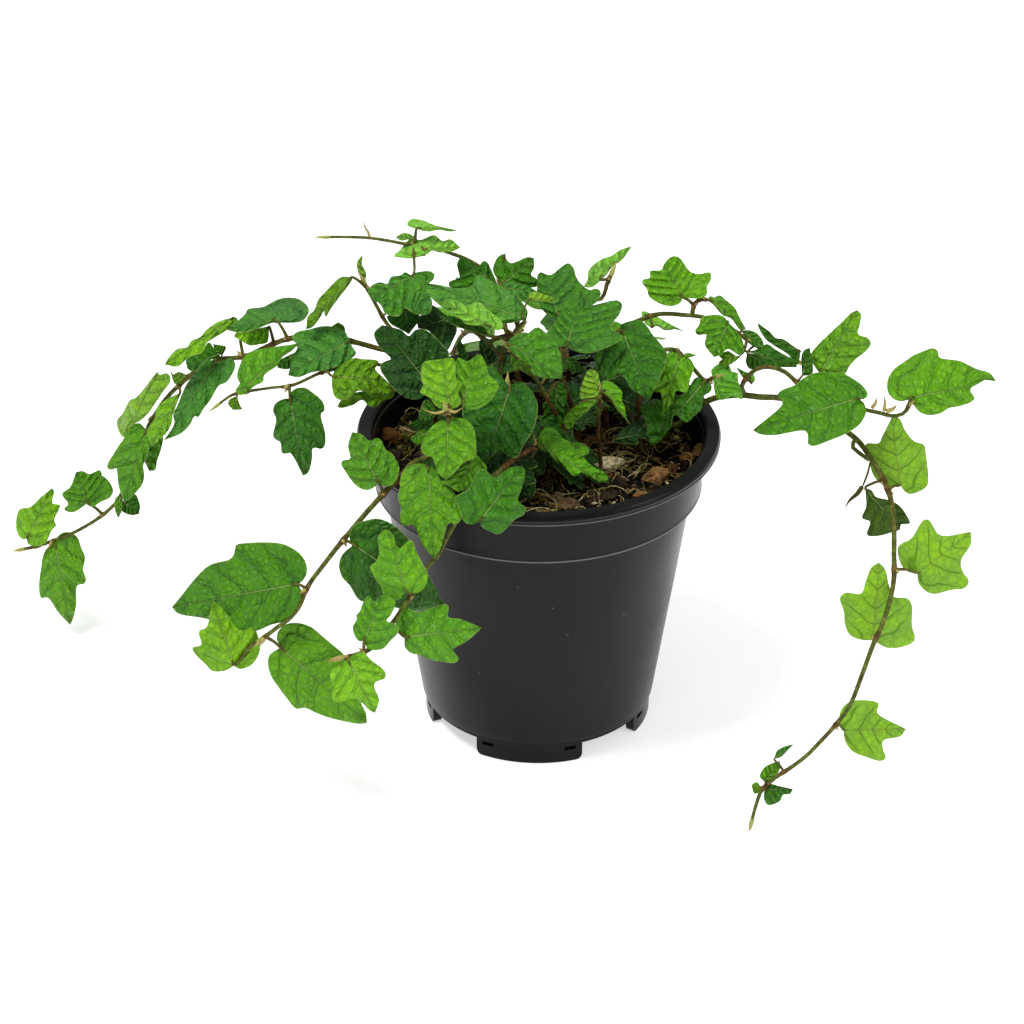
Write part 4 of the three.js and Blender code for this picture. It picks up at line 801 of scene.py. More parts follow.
def stipuleMaterial():
    # stipules and bud scales are papery, straw coloured and green at their foot
    material, node = newMaterial("figStipulePapery")
    place = node("TexCoord", out="Object")
    along = node("Attribute", out=2, attribute_name="woody")
    grain = node("TexNoise", {"Vector": place, "Scale": 1400.0, "Detail": 3.0})
    colour = node("ValToRGB", [along], stops=[(0.0, "#8a9a3c"), (0.5, "#a89a55"), (1.0, "#8c6a38")])
    browned = node("MapRange", [grain, 0.4, 0.7, 0.0, 0.3], **easing)
    colour = node("Mix", {0: browned, 6: colour, 7: linear("#6a5024")}, **mixColours)
    surface(node, colour, 0.62, grain, 0.08, IOR=1.45)
    return material


figMaterials = [
    bladeMaterial("figBladeUpperCuticle", False),
    bladeMaterial("figBladeUnderside", True),
    stemMaterial(),
    stipuleMaterial(),
]
print("plant materials made")

# The colour of each tone's upper side; the underside is paler and yellower
tones = {
    "lime": "#70ad1d", "bright": "#59990e", "medium": "#509015", "dark": "#2f6a09",
    "bluish": "#44812f", "pale": "#77aa33", "olive": "#598c0f", "quilted": "#336e0f",
    "very_dark": "#174403", "rich": "#438308", "rich_lime": "#6da905", "medium_pale": "#46871f",
    "quilted_dark": "#245c0b", "light": "#79b843", "medium_dark": "#417d23", "blue_green": "#4d8b2f",
    "olive_dark": "#347001", "light_medium": "#5da42c", "mottled": "#5f9919", "under_green": "#528713",
    "wilted": "#3c5e06", "dry": "#8d8c7c",
}

# Leaf blades
leafColumns = np.array([0.0, 0.1, 0.24, 0.42, 0.6, 0.78, 0.92, 1.0])


def leafRows(flat, tip):
    # rows from midrib to edge. Each edge point looks back along the side veins to a place on the
    # midrib, a running mean of highest and lowest keeps those places in order, and both edges
    # advance together so that they share their places
    looks = leafLooks
    length = flat[tip, 0]
    share = np.linspace(0, 1, looks["edgeSamples"])
    ahead = 0.3  # a part of the way along the edge is added to each place, so that places always grow
    sides, places = [], []
    for points in (flat[: tip + 1], np.vstack([flat[tip:], flat[:1]])[::-1]):
        edge = evenly(curveThrough(points, 12), len(share))
        back = np.clip(edge[:, 0] - looks["lean"] * np.abs(edge[:, 1]), 0, length)
        ordered = (np.maximum.accumulate(back) + np.minimum.accumulate(back[::-1])[::-1]) / 2
        ordered[0], ordered[-1] = 0.0, length
        sides.append(edge)
        places.append(ordered / length + ahead * share)
    level = np.linspace(0, 1 + ahead, 700)
    reached = [np.interp(level, place, share) for place in places]
    chosen = np.interp(np.linspace(0, 1, looks["rows"] + 1), (reached[0] + reached[1]) / 2, level)
    shares = [np.interp(chosen, place, share) for place in places]
    edges = []
    for own, edge in zip(shares, sides):
        edges.append(np.stack([np.interp(own, share, edge[:, k]) for k in (0, 1)], axis=1))
    if np.mean(edges[0][:, 1]) > np.mean(edges[1][:, 1]):
        edges.reverse()
    along = length * np.clip(chosen - ahead * (shares[0] + shares[1]) / 2, 0, 1)
    low, high = edges[0][:, 1], edges[1][:, 1]
    middle = np.clip(0, low + 0.2 * (high - low), high - 0.2 * (high - low))
    middle[[0, -1]] = 0
    middle = smoothed(middle, 8)
    return np.stack([smoothed(along, 2), middle], axis=1), edges


def bladeShape(flat, tip, seed, place, facing, tone):
    # a ruled sheet between midrib and edges, raised by arch, fold, quilting and a wavy rim, given
    # an underside with a rib; place turns flat points and their lift into space
    looks = leafLooks
    midrib, edges = leafRows(flat, tip)
    length = flat[tip, 0]
    rows = looks["rows"] + 1
    turned = tone == "under_green"  # the photograph shows this leaf's underside
    t = np.concatenate([-leafColumns[:0:-1], leafColumns])
    reach = np.broadcast_to(np.abs(t), (rows, len(t)))
    edge = np.where((t < 0)[None, :, None], edges[0][:, None], edges[1][:, None])
    grid = midrib[:, None] + reach[..., None] * (edge - midrib[:, None])
    across = np.linalg.norm(grid - midrib[:, None], axis=2)
    small = min(1.0, length / looks["grownMm"])
    phase = np.broadcast_to(midrib[:, :1] / length * looks["veinCount"], reach.shape)
    taper = 1 - phase / looks["veinCount"]
    fold = np.abs(midrib[:, 1:]) + reach * (np.abs(edge[..., 1]) - np.abs(midrib[:, 1:]))
    arch = looks["arch"] * length * (1 - (2 * grid[..., 0] / length - 1) ** 2)
    quilt = looks["quilt"] * small * (looks["quiltedTimes"] if tone.startswith("quilted") else 1.0)
    cushions = np.sin(math.pi * phase) ** 2 * np.sin(math.pi * np.clip(reach, 0, 1)) ** 0.8
    groove = -0.7 * looks["groove"] if turned else looks["groove"]
    groove = groove * small * np.exp(-((across / looks["grooveMm"]) ** 2)) * taper
    wave = looks["wave"] * small * reach**3 * np.sin(phase * 2.1 + np.where(t < 0, 1.3, 0.0) + seed)
    top = place(grid, arch - looks["fold"] * fold + quilt * cushions - groove + wave)
    thick = looks["thickness"] * (1 - looks["edgeThinner"] * reach**4)
    rib = 0.0 if turned else looks["rib"]
    thick = thick + rib * small * np.exp(-((across / looks["ribMm"]) ** 2)) * (0.2 + 0.8 * taper)
    bottom = top - facing * thick[..., None]
    count = reach.size
    index = np.arange(count).reshape(rows, -1)
    index[0], index[-1] = index[0, 0], index[-1, 0]  # the base and the tip are single points
    upper = np.stack([index[:-1, :-1], index[1:, :-1], index[1:, 1:], index[:-1, 1:]], axis=-1)
    inner = upper[1:-1].reshape(-1, 4)
    tris = np.concatenate([upper[0][:, [0, 1, 2]], upper[-1][:, [0, 2, 3]]])
    loop = np.concatenate([index[:, 0], index[-2:0:-1, -1]])
    rim = np.stack([np.roll(loop, -1), loop, loop + count, np.roll(loop, -1) + count], axis=1)
    upperTone = np.array(linear(tones[tone]))
    paler = upperTone[:3] * 0.85 + np.array(linear(looks["underColour"]))[:3] * 0.35
    lowerTone = np.array([*paler, 1.0])
    faces = [lowerTone, upperTone] if turned else [upperTone, lowerTone]
    slots = (1, 0) if turned else (0, 1)
    shade = 1.0 + 0.1 * math.sin(seed * 7.3)
    veins = np.stack([phase, reach, across], axis=-1).reshape(-1, 3)
    where = np.concatenate([grid, np.full((*reach.shape, 1), seed * 9.0)], axis=2).reshape(-1, 3)
    return {
        "points": np.concatenate([top.reshape(-1, 3), bottom.reshape(-1, 3)]),
        "quads": np.concatenate([inner, inner[:, ::-1] + count, rim]),
        "tris": np.concatenate([tris, tris[:, ::-1] + count]),
        "quadSlots": np.repeat([slots[0], slots[1], slots[0]], [len(inner), len(inner), len(rim)]),
        "triSlots": np.repeat(slots, len(tris)),
        "quadFlat": np.repeat([False, True], [2 * len(inner), len(rim)]),
        "fields": {
            "veinPlace": np.tile(veins, (2, 1)), "bladePlace": np.tile(where, (2, 1)),
            "tone": np.repeat(faces, count, axis=0) * [shade, shade, shade, 1],
        },
    }, place(midrib, np.zeros(rows))


# Stems, in mm: woody grows toward the joints and the pot, and past 1 the bark gets painted shade, dark low in
# the crown
stemLooks = {
    "sides": 8, "step": 1.3, "swell": 0.28, "swellMm": 1.1, "twig": (0.58, 0.48), "petiole": (0.46, 0.3),
    "petioleArch": 0.08, "leastStipule": 9.0, "stipuleMm": 1.9, "rootletMm": 1.9, "rootlets": 2,
    "hairPerMm": 2.4, "hairMm": 0.65, "endMargin": 1.2, "crownReach": 32.0, "crownTop": 90.0,
    "soilTop": 73.0, "soilReach": 38.5, "rootHeights": (63, 67, 71, 74), "budMm": 4.6, "budBack": 0.8,
}
soilLevel = 70.0


def nearestOn(lines, point):
    # the nearest place on the stem and its twigs that is out of the soil and not at their ends
    looks = stemLooks
    best, bestGap, bestLine, bestAt = None, 1e9, None, 0
    for line in lines:
        gap = np.linalg.norm(line - point, axis=1)
        gap[np.linalg.norm(line - line[-1], axis=1) < looks["endMargin"]] = 1e6
        inPot = np.hypot(line[:, 0], line[:, 1]) < looks["soilReach"]
        gap[inPot & (line[:, 2] < looks["soilTop"])] = 1e6
        at = int(np.argmin(gap))
        if gap[at] < bestGap:
            best, bestGap, bestLine, bestAt = line[at], gap[at], line, at
    ahead = bestLine[min(bestAt + 2, len(bestLine) - 1)] - bestLine[max(bestAt - 2, 0)]
    return best, unit(ahead)


def seenLeaf(entry, seed):
    # flat points are where sight lines meet the leaf's plane, and lift moves along the sight line,
    # so that the leaf's picture stays the same
    head, edge = entry.split("|")
    tone, depth, faces, tip = head.split()
    picture = readPoints(edge)
    tip = int(tip)
    facing = fromAngles(faces)
    base = atDepth(np.append(picture[0], float(depth))[None])[0]
    line = sightLine(picture)
    flat = eye + line * (np.dot(base - eye, facing) / (line @ facing))[:, None]
    lengthwise = unit(flat[tip] - base)
    crosswise = np.cross(facing, lengthwise)
    arms = np.stack([(flat - base) @ lengthwise, (flat - base) @ crosswise], axis=1)

    def place(points, lift):
        spot = base + points[..., :1] * lengthwise + points[..., 1:] * crosswise
        sight = unit(spot - eye)
        return spot - sight * (lift / np.maximum(0.5, np.abs(sight @ facing)))[..., None]

    return bladeShape(arms, tip, seed, place, facing, tone), arms[tip, 0]


def hiddenLeaf(entry, seed, shade=None):
    # a leaf that the photograph doesn't show, with the edge of a seen leaf turned and scaled, and
    # its tone or another
    like, number, at, toward, faces, size = entry.split()
    head, edge = leafEntries(seenStems[like]["leaves"])[int(number)].split("|")
    tone, tip = head.split()[0], int(head.split()[3])
    picture = readPoints(edge)
    arms = (picture - picture[0]) * [1, -1] * float(size) * view["distance"] / view["focal"]
    turn = -math.atan2(arms[tip, 1], arms[tip, 0])
    arms = arms @ np.array([[math.cos(turn), math.sin(turn)], [-math.sin(turn), math.cos(turn)]])
    base = np.array([float(n) for n in at.split(",")])
    lengthwise, facing = fromAngles(toward), fromAngles(faces)
    facing = unit(facing - lengthwise * np.dot(facing, lengthwise))
    crosswise = np.cross(facing, lengthwise)

    def place(points, lift):
        return base + points[..., :1] * lengthwise + points[..., 1:] * crosswise + facing * lift[..., None]

    return bladeShape(arms, tip, seed, place, facing, shade or tone), arms[tip, 0]


def makeStem(node, stem, leafMaker, seed):
    # the stem and its twigs as tapering tubes, swollen and brown at each joint, then for each leaf
    # a petiole, a blade, two stipules and a few rootlets, and fine hairs all along
    looks = stemLooks
    random = np.random.default_rng(seed)
    root = np.array([[*stem["root"], z] for z in looks["rootHeights"]], float)
    path = readPoints(stem["path"])
    path = path if leafMaker is hiddenLeaf else atDepth(path)
    curves = [curveThrough(np.vstack([root, path]), 12)]
    radii = [stem["radius"]]
    for twig in stem.get("twigs", []):
        twigPath = atDepth(readPoints(twig))
        start, _ = nearestOn(curves[:1], twigPath[1])
        curves.append(curveThrough(np.vstack([start[None], twigPath[1:]]), 12))
        radii.append(looks["twig"])
    lines = []
    for curve in curves:
        travelled = np.linalg.norm(np.diff(curve, axis=0), axis=1).sum()
        lines.append(evenly(curve, max(6, int(travelled / looks["step"]))))
    shapes, joints = [], []
    for number, entry in enumerate(leafEntries(stem["leaves"])):
        (blade, midrib), length = leafMaker(entry, seed + number * 1.7)
        shapes.append(blade)
        base = midrib[0]
        start, ahead = nearestOn(lines, base)
        inside = np.argmin(np.abs(np.linalg.norm(midrib - base, axis=1) - min(1.5, length * 0.12)))
        middle = (start + base) / 2 + [0, 0, looks["petioleArch"] * np.linalg.norm(base - start)]
        petiole = evenly(curveThrough(np.array([start, middle, base, midrib[max(inside, 1)]]), 8), 12)
        thick = np.linspace(*looks["petiole"], 12) * (1.0 if length > 8 else 0.75)
        green = np.linspace(0.35, 0.0, 12)[None, :, None]
        shapes.append(tubes(petiole[None], thick[None], 6, {"woody": green}, 2))
        joints.append((length, start, ahead, unit(base - start)))
    starts = np.array([start for _, start, _, _ in joints])
    for line, (thickStart, thickEnd) in zip(lines, radii):
        gap = np.linalg.norm(line[:, None] - starts[None], axis=2).min(axis=1)
        near = np.exp(-((gap / looks["swellMm"]) ** 2))
        radius = np.linspace(thickStart, thickEnd, len(line)) * (1 + looks["swell"] * near)
        barkAndCrownShade = np.clip(0.2 * np.linspace(1, 0, len(line)) ** 2 + 0.85 * near, 0, 1)
        # painted shade: inside the crown and below its top, woody goes past 1 and darkens the bark as shade
        # under the leaves
        inShadedCrown = np.hypot(line[:, 0], line[:, 1]) < looks["crownReach"]
        barkAndCrownShade = barkAndCrownShade + inShadedCrown * np.clip((looks["crownTop"] - line[:, 2]) / 4.0, 0, 1)
        shapes.append(tubes(line[None], radius[None], looks["sides"], {"woody": barkAndCrownShade[None, :, None]}, 2))
        shapes.append(stemHairs(line, radius, random))
    grown = [joint for joint in joints if joint[0] > looks["leastStipule"]]
    shapes += [stipules(random, *joint) for joint in grown]
    shapes += [rootlets(random, start, outward) for _, start, _, outward in grown]
    shapes.append(bud(lines[0][-1], unit(lines[0][-1] - lines[0][-3]), stem["radius"][1]))
    words = node.split("_")
    name = words[0] + "".join(word.capitalize() for word in words[1:])
    return makePiece(name, shapes, figMaterials, node)


def stipules(random, length, start, ahead, outward):
    # a pair of pointed scales beside the joint: tubes that widen, narrow to a point and bend out
    t = np.linspace(0, 1, 7)[None, :, None]
    size = stemLooks["stipuleMm"] * min(1.2, length / 20.0) * random.uniform(0.7, 1.2, (2, 1, 1))
    side = unit(np.cross(ahead, outward))[None, None] * np.array([1.0, -1.0])[:, None, None]
    lean = unit(ahead * 0.7 + outward * 0.5 + random.normal(0, 0.2, 3))
    path = start + side * 0.4 + size * (lean * t + side * (0.25 * t**2 + 0.1 * t))
    radius = np.array([0.2, 0.42, 0.5, 0.42, 0.3, 0.16, 0.03]) * min(1.0, length / 18.0)
    return tubes(path, np.tile(radius, (2, 1)), 5, {"woody": np.tile(t, (2, 1, 1))}, 3)


def rootlets(random, start, outward):
    # short clinging roots below a joint: threads that leave sideways and curl down
    count, steps = stemLooks["rootlets"], 7
    t = np.linspace(0, 1, steps)[None, :, None]
    size = stemLooks["rootletMm"] * random.uniform(0.4, 1.1, (count, 1, 1))
    away = unit(random.normal(0, 1, (count, 1, 3)) - outward * 0.8)
    curl = random.normal(0, 0.5, (count, 1, 3)) - [0, 0, 0.35]
    path = start + size * (away * t + curl * t**2 * 0.7)
    radius = np.linspace(0.11, 0.03, steps)
    return tubes(path, np.tile(radius, (count, 1)), 4, {"woody": np.ones((count, steps, 1))}, 2)


def stemHairs(line, radius, random):
    # short bristles standing out of the bark: two-step threads from random places and turns
    travelled = np.linalg.norm(np.diff(line, axis=0), axis=1).sum()
    count = int(travelled * stemLooks["hairPerMm"])
    at = random.uniform(4, len(line) - 1.01, count)
    low = at.astype(int)
    part = (at - low)[:, None]
    centre = line[low] * (1 - part) + line[low + 1] * part
    along = unit(line[low + 1] - line[low])
    out = unit(np.cross(along, random.normal(0, 1, (count, 3))))
    t = np.array([0.0, 0.5, 1.0])[None, :, None]
    size = stemLooks["hairMm"] * random.uniform(0.5, 1.2, (count, 1, 1))
    lean = unit(out + along * random.uniform(-0.2, 0.7, (count, 1)))
    path = (centre + out * (radius[low] * 0.85)[:, None])[:, None] + size * lean[:, None] * t
    thin = np.tile([0.045, 0.032, 0.012], (count, 1))
    return tubes(path, thin, 3, {"woody": np.full((count, 3, 1), 0.7)}, 2)


def bud(end, ahead, radius):
    # the rolled leaf at a growing tip: a spindle along the stem's last direction
    t = np.linspace(0, 1, 9)
    path = end + ahead * (t * stemLooks["budMm"] - stemLooks["budBack"])[:, None]
    width = radius * np.array([0.7, 1.15, 1.3, 1.25, 1.1, 0.85, 0.55, 0.3, 0.05])
    return tubes(path[None], width[None], 7, {"woody": (t * 0.6)[None, :, None]}, 3)


for number, (node, stem) in enumerate(seenStems.items()):
    makeStem(node, stem, seenLeaf, 11 + number * 3)
for number, (node, stem) in enumerate(hiddenStems.items()):
    makeStem(node, stem, hiddenLeaf, 211 + number * 3)
print("stems and leaves made")

# Small dark leaves low in the crown, where the photograph shows only shade between the blades:
# borrowed edges at places spread over the middle of the soil
# painted shade: these very dark leaves stand in for the shade low in the crown
crownShadeLeaves = {
    "count": 60, "reach": 27.0, "low": 76.0, "high": 92.0, "size": (0.6, 0.95), "back": 4.0,
    "like": [("centre_stem", 1), ("left_dark_stem", 0), ("crown_back_stem", 0), ("top_stem", 1)],
    "tones": ["very_dark", "very_dark", "quilted_dark"],
}


def makeCrownShadeLeaves():
    random = np.random.default_rng(77)
    looks = crownShadeLeaves
    shapes = []
    for number in range(looks["count"]):
        turn, radius = random.uniform(-180, 180), looks["reach"] * math.sqrt(random.uniform())
        x = radius * math.sin(math.radians(turn))
        y = looks["back"] - radius * math.cos(math.radians(turn))
        z = random.uniform(looks["low"], looks["high"] - radius * 0.25)
        node, leaf = looks["like"][number % len(looks["like"])]
        toward = f"{turn + random.uniform(-50, 50):.0f},{random.uniform(-35, 10):.0f}"
        faces = f"{turn + random.uniform(-40, 40):.0f},{random.uniform(40, 75):.0f}"
        size = random.uniform(*looks["size"])
        text = f"{node} {leaf} {x:.1f},{y:.1f},{z:.1f} {toward} {faces} {size:.2f}"
        (blade, _), _ = hiddenLeaf(text, 300 + number * 1.3, looks["tones"][number % len(looks["tones"])])
        shapes.append(blade)
    return makePiece("crownShadeLeafFill", shapes, figMaterials)


makeCrownShadeLeaves()
wiltedLeaf = """
    dry 14 -10,50 8 | 613,380 617,376 624,381 631,391 641,398 643,406 644,416 648,425 642,428
        635,425 630,419 623,392
"""
(dryBlade, _), _ = seenLeaf(leafEntries(wiltedLeaf)[0], 5.0)
makePiece("dryLeaf", [dryBlade], figMaterials)
print("undergrowth made")

# Pot: radii and heights in mm above the axis's zero, angles in degrees
potLooks = {
    "lip": 44.9, "collarBottom": 63.2, "collar": 40.4, "mouth": 41.6, "bodyTop": 38.3, "bodyBottom": 29.7,
    "floor": 29.0, "floorBottom": 2.6, "footBottom": -2.3, "footCorner": 1.6, "wall": 1.1, "corner": 0.22,
    "steps": 192, "longestLeg": 2.4, "feet": 4, "footSpan": 55.0, "frontFoot": -95.0, "footWidth": 2.3,
    "slotWidth": 3.0, "slotHeight": 1.0, "slotBottom": 1.1, "slotTurn": 21.0, "sharpPast": 38.0,
    "colour": "#0a0a0b", "cloudColour": "#0f0f10", "dustColour": "#8a8d8c", "edgeHighlightColour": "#6c6d6f",
    "roughness": 0.3, "relief": 0.05,
}


def rounded(points, radius, closed=False):
    # each corner becomes a short curve between two points that stand back from it along its legs
    points = np.asarray(points, float)
    before, after = np.roll(points, 1, axis=0), np.roll(points, -1, axis=0)
    back, ahead = before - points, after - points
    reachBack = np.minimum(radius, 0.45 * np.linalg.norm(back, axis=1, keepdims=True))
    reachAhead = np.minimum(radius, 0.45 * np.linalg.norm(ahead, axis=1, keepdims=True))
    start, end = points + unit(back) * reachBack, points + unit(ahead) * reachAhead
    t = np.linspace(0, 1, 5)[:, None]
    curve = (1 - t) ** 2 * start[:, None] + 2 * t * (1 - t) * points[:, None] + t**2 * end[:, None]
    if closed:
        return curve.reshape(-1, 2)
    return np.concatenate([points[:1], curve[1:-1].reshape(-1, 2), points[-1:]])


def splitLegs(points, longest):
    # adds points so that no leg is longer than the given length
    legs = np.ceil(np.linalg.norm(np.diff(points, axis=0), axis=1) / longest)
    legs = np.maximum(1, legs).astype(int)
    at = np.concatenate([k + np.arange(n) / n for k, n in enumerate(legs)] + [[len(points) - 1]])
    return np.stack([np.interp(at, np.arange(len(points)), points[:, k]) for k in (0, 1)], axis=1)


def potMaterial():
    # black polypropylene, injection moulded: a dark satin skin with level flow lines about 1 mm
    # apart, clouded over 20 mm, with a speck of dust every 4 mm and fine grain of 0.4 mm
    looks = potLooks
    material, node = newMaterial("blackPolypropyleneMoulded")
    place = node("TexCoord", out="Object")
    stretched = node("Mapping", {"Vector": place, "Scale": (60.0, 60.0, 900.0)})
    flow = node("TexNoise", {"Vector": stretched, "Scale": 1.0, "Detail": 3.0})
    cloud = node("TexNoise", {"Vector": place, "Scale": 45.0, "Detail": 4.0})
    skin = node("TexNoise", {"Vector": place, "Scale": 2600.0, "Detail": 2.0})
    speck, own = node("TexVoronoi", {"Vector": place, "Scale": 230.0}, firstTwo)
    some = node("Math", [node("SeparateXYZ", [own]), 0.72], **above)
    dot = node("MapRange", [speck, 0.02, 0.06, 0.4, 0.0], **easing)
    dot = node("Math", [dot, some], **product)
    clouded = node("MapRange", [cloud, 0.4, 0.7, 0.0, 0.5], **easing)
    black, brighter = linear(looks["colour"]), linear(looks["cloudColour"])
    colour = node("Mix", {0: clouded, 6: black, 7: brighter}, **mixColours)
    colour = node("Mix", {0: dot, 6: colour, 7: linear(looks["dustColour"])}, **mixColours)
    level = node("SeparateXYZ", [place], 2)
    for edge in (looks["collarBottom"] + 0.3, rimTop - 2.4):  # painted highlight: thin paler lines at these two rounded edges, for the light they catch
        offEdge = node("Math", [level, potAxis[2] + edge / 1000.0], **difference)
        offEdge = node("Math", [offEdge], **bare)
        edgeHighlight = node("MapRange", [offEdge, 0.0001, 0.0004, 0.8, 0.0], **easing)
        colour = node("Mix", {0: edgeHighlight, 6: colour, 7: linear(looks["edgeHighlightColour"])}, **mixColours)
    flowing, grained = node("Math", [flow, 0.5], **product), node("Math", [skin, 0.5], **product)
    height = node("Math", [flowing, grained], **total)
    smooth, dull = looks["roughness"] - 0.04, looks["roughness"] + 0.06
    rough = node("MapRange", [cloud, 0.3, 0.7, smooth, dull], **easing)
    surface(node, colour, rough, height, looks["relief"], IOR=1.49, Specular_IOR_Level=0.16)
    return material


def potProfile():
    # outside from the floor up to the rim, then inside back down, as radius and height
    p = potLooks
    base, wall, collar, lip = p["floorBottom"], p["wall"], p["collarBottom"], p["lip"]
    floorTop, collarTop = base + wall, rimTop - 2.9
    return np.array([
        (0, base), (p["floor"], base), (p["floor"], base + 1.3),
        (p["bodyBottom"], base + 1.6), (p["bodyTop"], collar - 0.4),
        (p["collar"], collar), (p["collar"] + 0.25, collar + 0.3), (p["collar"] + 0.05, collar + 0.8),
        (p["mouth"], collarTop), (lip - 0.9, collarTop + 0.2), (lip - 0.1, collarTop + 0.5),
        (lip - 0.35, collarTop + 1.0), (lip, collarTop + 1.8), (lip - 0.5, rimTop),
        (p["mouth"] + 0.2, rimTop), (p["mouth"] - 0.6, rimTop - 0.8), (p["mouth"] - wall, collarTop - 1),
        (p["collar"] - wall, collar + 0.6), (p["bodyTop"] - wall, collar - 0.8),
        (p["bodyBottom"] - wall, floorTop + 0.8), (p["bodyBottom"] - wall - 1.2, floorTop), (0, floorTop),
    ])


def turned(points, turns):
    # copies of the points turned about the pot's axis
    x = points[..., 0] * np.cos(turns)[:, None] - points[..., 1] * np.sin(turns)[:, None]
    y = points[..., 0] * np.sin(turns)[:, None] + points[..., 1] * np.cos(turns)[:, None]
    return np.stack([x, y, np.broadcast_to(points[..., 2], x.shape)], axis=-1)


def makePot():
    # the lathed shell, and four curved feet with rounded lower corners and a drain slot near each end
    p = potLooks
    plastic = potMaterial()
    shell = lathe(splitLegs(rounded(potProfile(), p["corner"]), p["longestLeg"]), p["steps"])
    makePiece("potShell", [shell], [plastic], "pot")
    middles = np.radians(p["frontFoot"] + np.arange(p["feet"]) * 360.0 / p["feet"])
    outer, inner, top = p["floor"] - 0.1, p["floor"] - 0.1 - p["footWidth"], p["floorBottom"] + 0.5
    half, corner = math.radians(p["footSpan"] / 2), p["footCorner"]
    turns = half * np.sin(np.linspace(-math.pi / 2, math.pi / 2, 33))
    pastCorner = np.clip((np.abs(turns) * outer - half * outer + corner) / corner, 0, 1)
    low = p["footBottom"] + corner * (1 - np.sqrt(1 - pastCorner**2))
    section = rounded([(outer, 1.0), (outer, 0.0), (inner, 0.0), (inner, 1.0)], 0.08, closed=True)
    radius, part = section[:, 0], section[:, 1]
    height = low[:, None] + part * (top - low[:, None])
    ring = np.stack([np.cos(turns)[:, None] * radius, np.sin(turns)[:, None] * radius, height], axis=-1)
    feet = turned(ring.reshape(-1, 3), middles).reshape(len(middles), *ring.shape)
    feet = closedRings(feet, feet[:, 0].mean(axis=1), feet[:, -1].mean(axis=1))
    pot = makePiece("potFeet", [feet], [plastic], "pot")
    square = ((-4, -0.5), (4, -0.5), (4, 0.5), (-4, 0.5))
    box = np.array([(x, y, z) for z in (0, 1) for x, y in square], float)
    box = box * [1, p["slotWidth"], p["slotHeight"]]
    box = box + [p["floor"] - p["footWidth"] / 2, 0, p["slotBottom"]]
    slotTurns = (middles[:, None] + np.radians([-p["slotTurn"], p["slotTurn"]])).ravel()
    rings = turned(box, slotTurns).reshape(len(slotTurns), 2, 4, 3)
    slots = closedRings(rings, rings[:, 0].mean(axis=1), rings[:, 1].mean(axis=1))
    cutter = makePiece("slotCutter", [slots], [])
    cut = pot.modifiers.new("slots", "BOOLEAN")
    cut.object, cut.solver = cutter, "EXACT"
    bpy.context.view_layer.update()
    finished = bpy.data.meshes.new_from_object(pot.evaluated_get(bpy.context.evaluated_depsgraph_get()))
    pot.modifiers.clear()
    pot.data = finished
    finished.shade_smooth()
    finished.set_sharp_from_angle(angle=math.radians(p["sharpPast"]))
    bpy.data.objects.remove(cutter)


makePot()
print("pot made")

# Soil: crumbs, bark chips, root threads and moss lying on it. A chip has its picture x and y,
# length, width and height in mm, turn in degrees and place in the bark's colours
soilLooks = {
    "reach": 38.9, "crumbs": 1700, "crumbMm": (0.45, 1.5), "clods": 70, "clodMm": (1.6, 3.2), "flakes": 320,
    "flakeMm": (0.3, 0.95), "roots": 330, "rootMm": (7.0, 24.0), "rootRadius": (0.06, 0.17), "moss": 420,
    "mossMm": 1.7, "mossSpread": 1.6, "mossRadius": (0.07, 0.16), "relief": 0.9, "damp": "#120e0a",
    "chips": [
        (606, 465, 5.4, 2.3, 1.5, 12, 1.0), (656, 478, 3.6, 2.6, 2.0, 35, 0.62),
        (700, 453, 2.3, 1.8, 1.9, 60, 0.66), (687, 459, 2.3, 1.6, 1.4, 30, 0.55),
        (672, 470, 2.2, 1.5, 1.2, 70, 0.35), (640, 496, 2.0, 1.2, 0.8, 15, 0.6),
        (566, 462, 3.4, 2.4, 1.3, 100, 0.12), (618, 488, 2.6, 1.8, 1.2, 20, 0.15),
        (391, 437, 2.6, 3.8, 1.6, 25, 0.5), (540, 498, 2.4, 1.6, 1.0, 160, 0.3),
        (590, 442, 2.6, 1.4, 1.0, 50, 0.35), (637, 452, 2.8, 1.9, 1.2, 130, 0.1),
        (596, 497, 1.6, 1.0, 0.7, 5, 0.7), (579, 478, 2.2, 1.3, 0.9, 80, 0.2),
        (655, 440, 2.4, 1.7, 1.1, 10, 0.3),
    ],
    "tufts": [
        (620, 440), (633, 432), (648, 436), (600, 424), (562, 478), (548, 470), (612, 404), (395, 418),
        (410, 440), (585, 452), (530, 490), (668, 436), (404, 452), (640, 448), (556, 498),
    ],
}
peatStops = [(0.0, "#0d0b09"), (0.35, "#1d1813"), (0.6, "#382b1f"), (0.85, "#6e583e"), (1.0, "#a98f66")]
barkStops = [(0.0, "#1b130b"), (0.3, "#47301c"), (0.55, "#84592f"), (0.8, "#b3935f"), (1.0, "#e2d2a6")]
rootStops = [(0.0, "#3a2f14"), (0.4, "#8a7838"), (0.7, "#bba85c"), (1.0, "#e2d698")]
mossStops = [(0.0, "#3c4a14"), (0.5, "#6f7f25"), (1.0, "#a3ab45")]


def soilHeight(x, y):
    # the CAD surface: two crossed waves, flattened near the wall
    wave = 0.7 * np.sin(x * 0.21 + 1) * np.cos(y * 0.17) + 0.4 * np.sin(x * 0.09 - y * 0.31)
    return soilLevel + wave * np.minimum(1, (1 - np.hypot(x, y) / (soilLooks["reach"] + 0.1)) * 6)


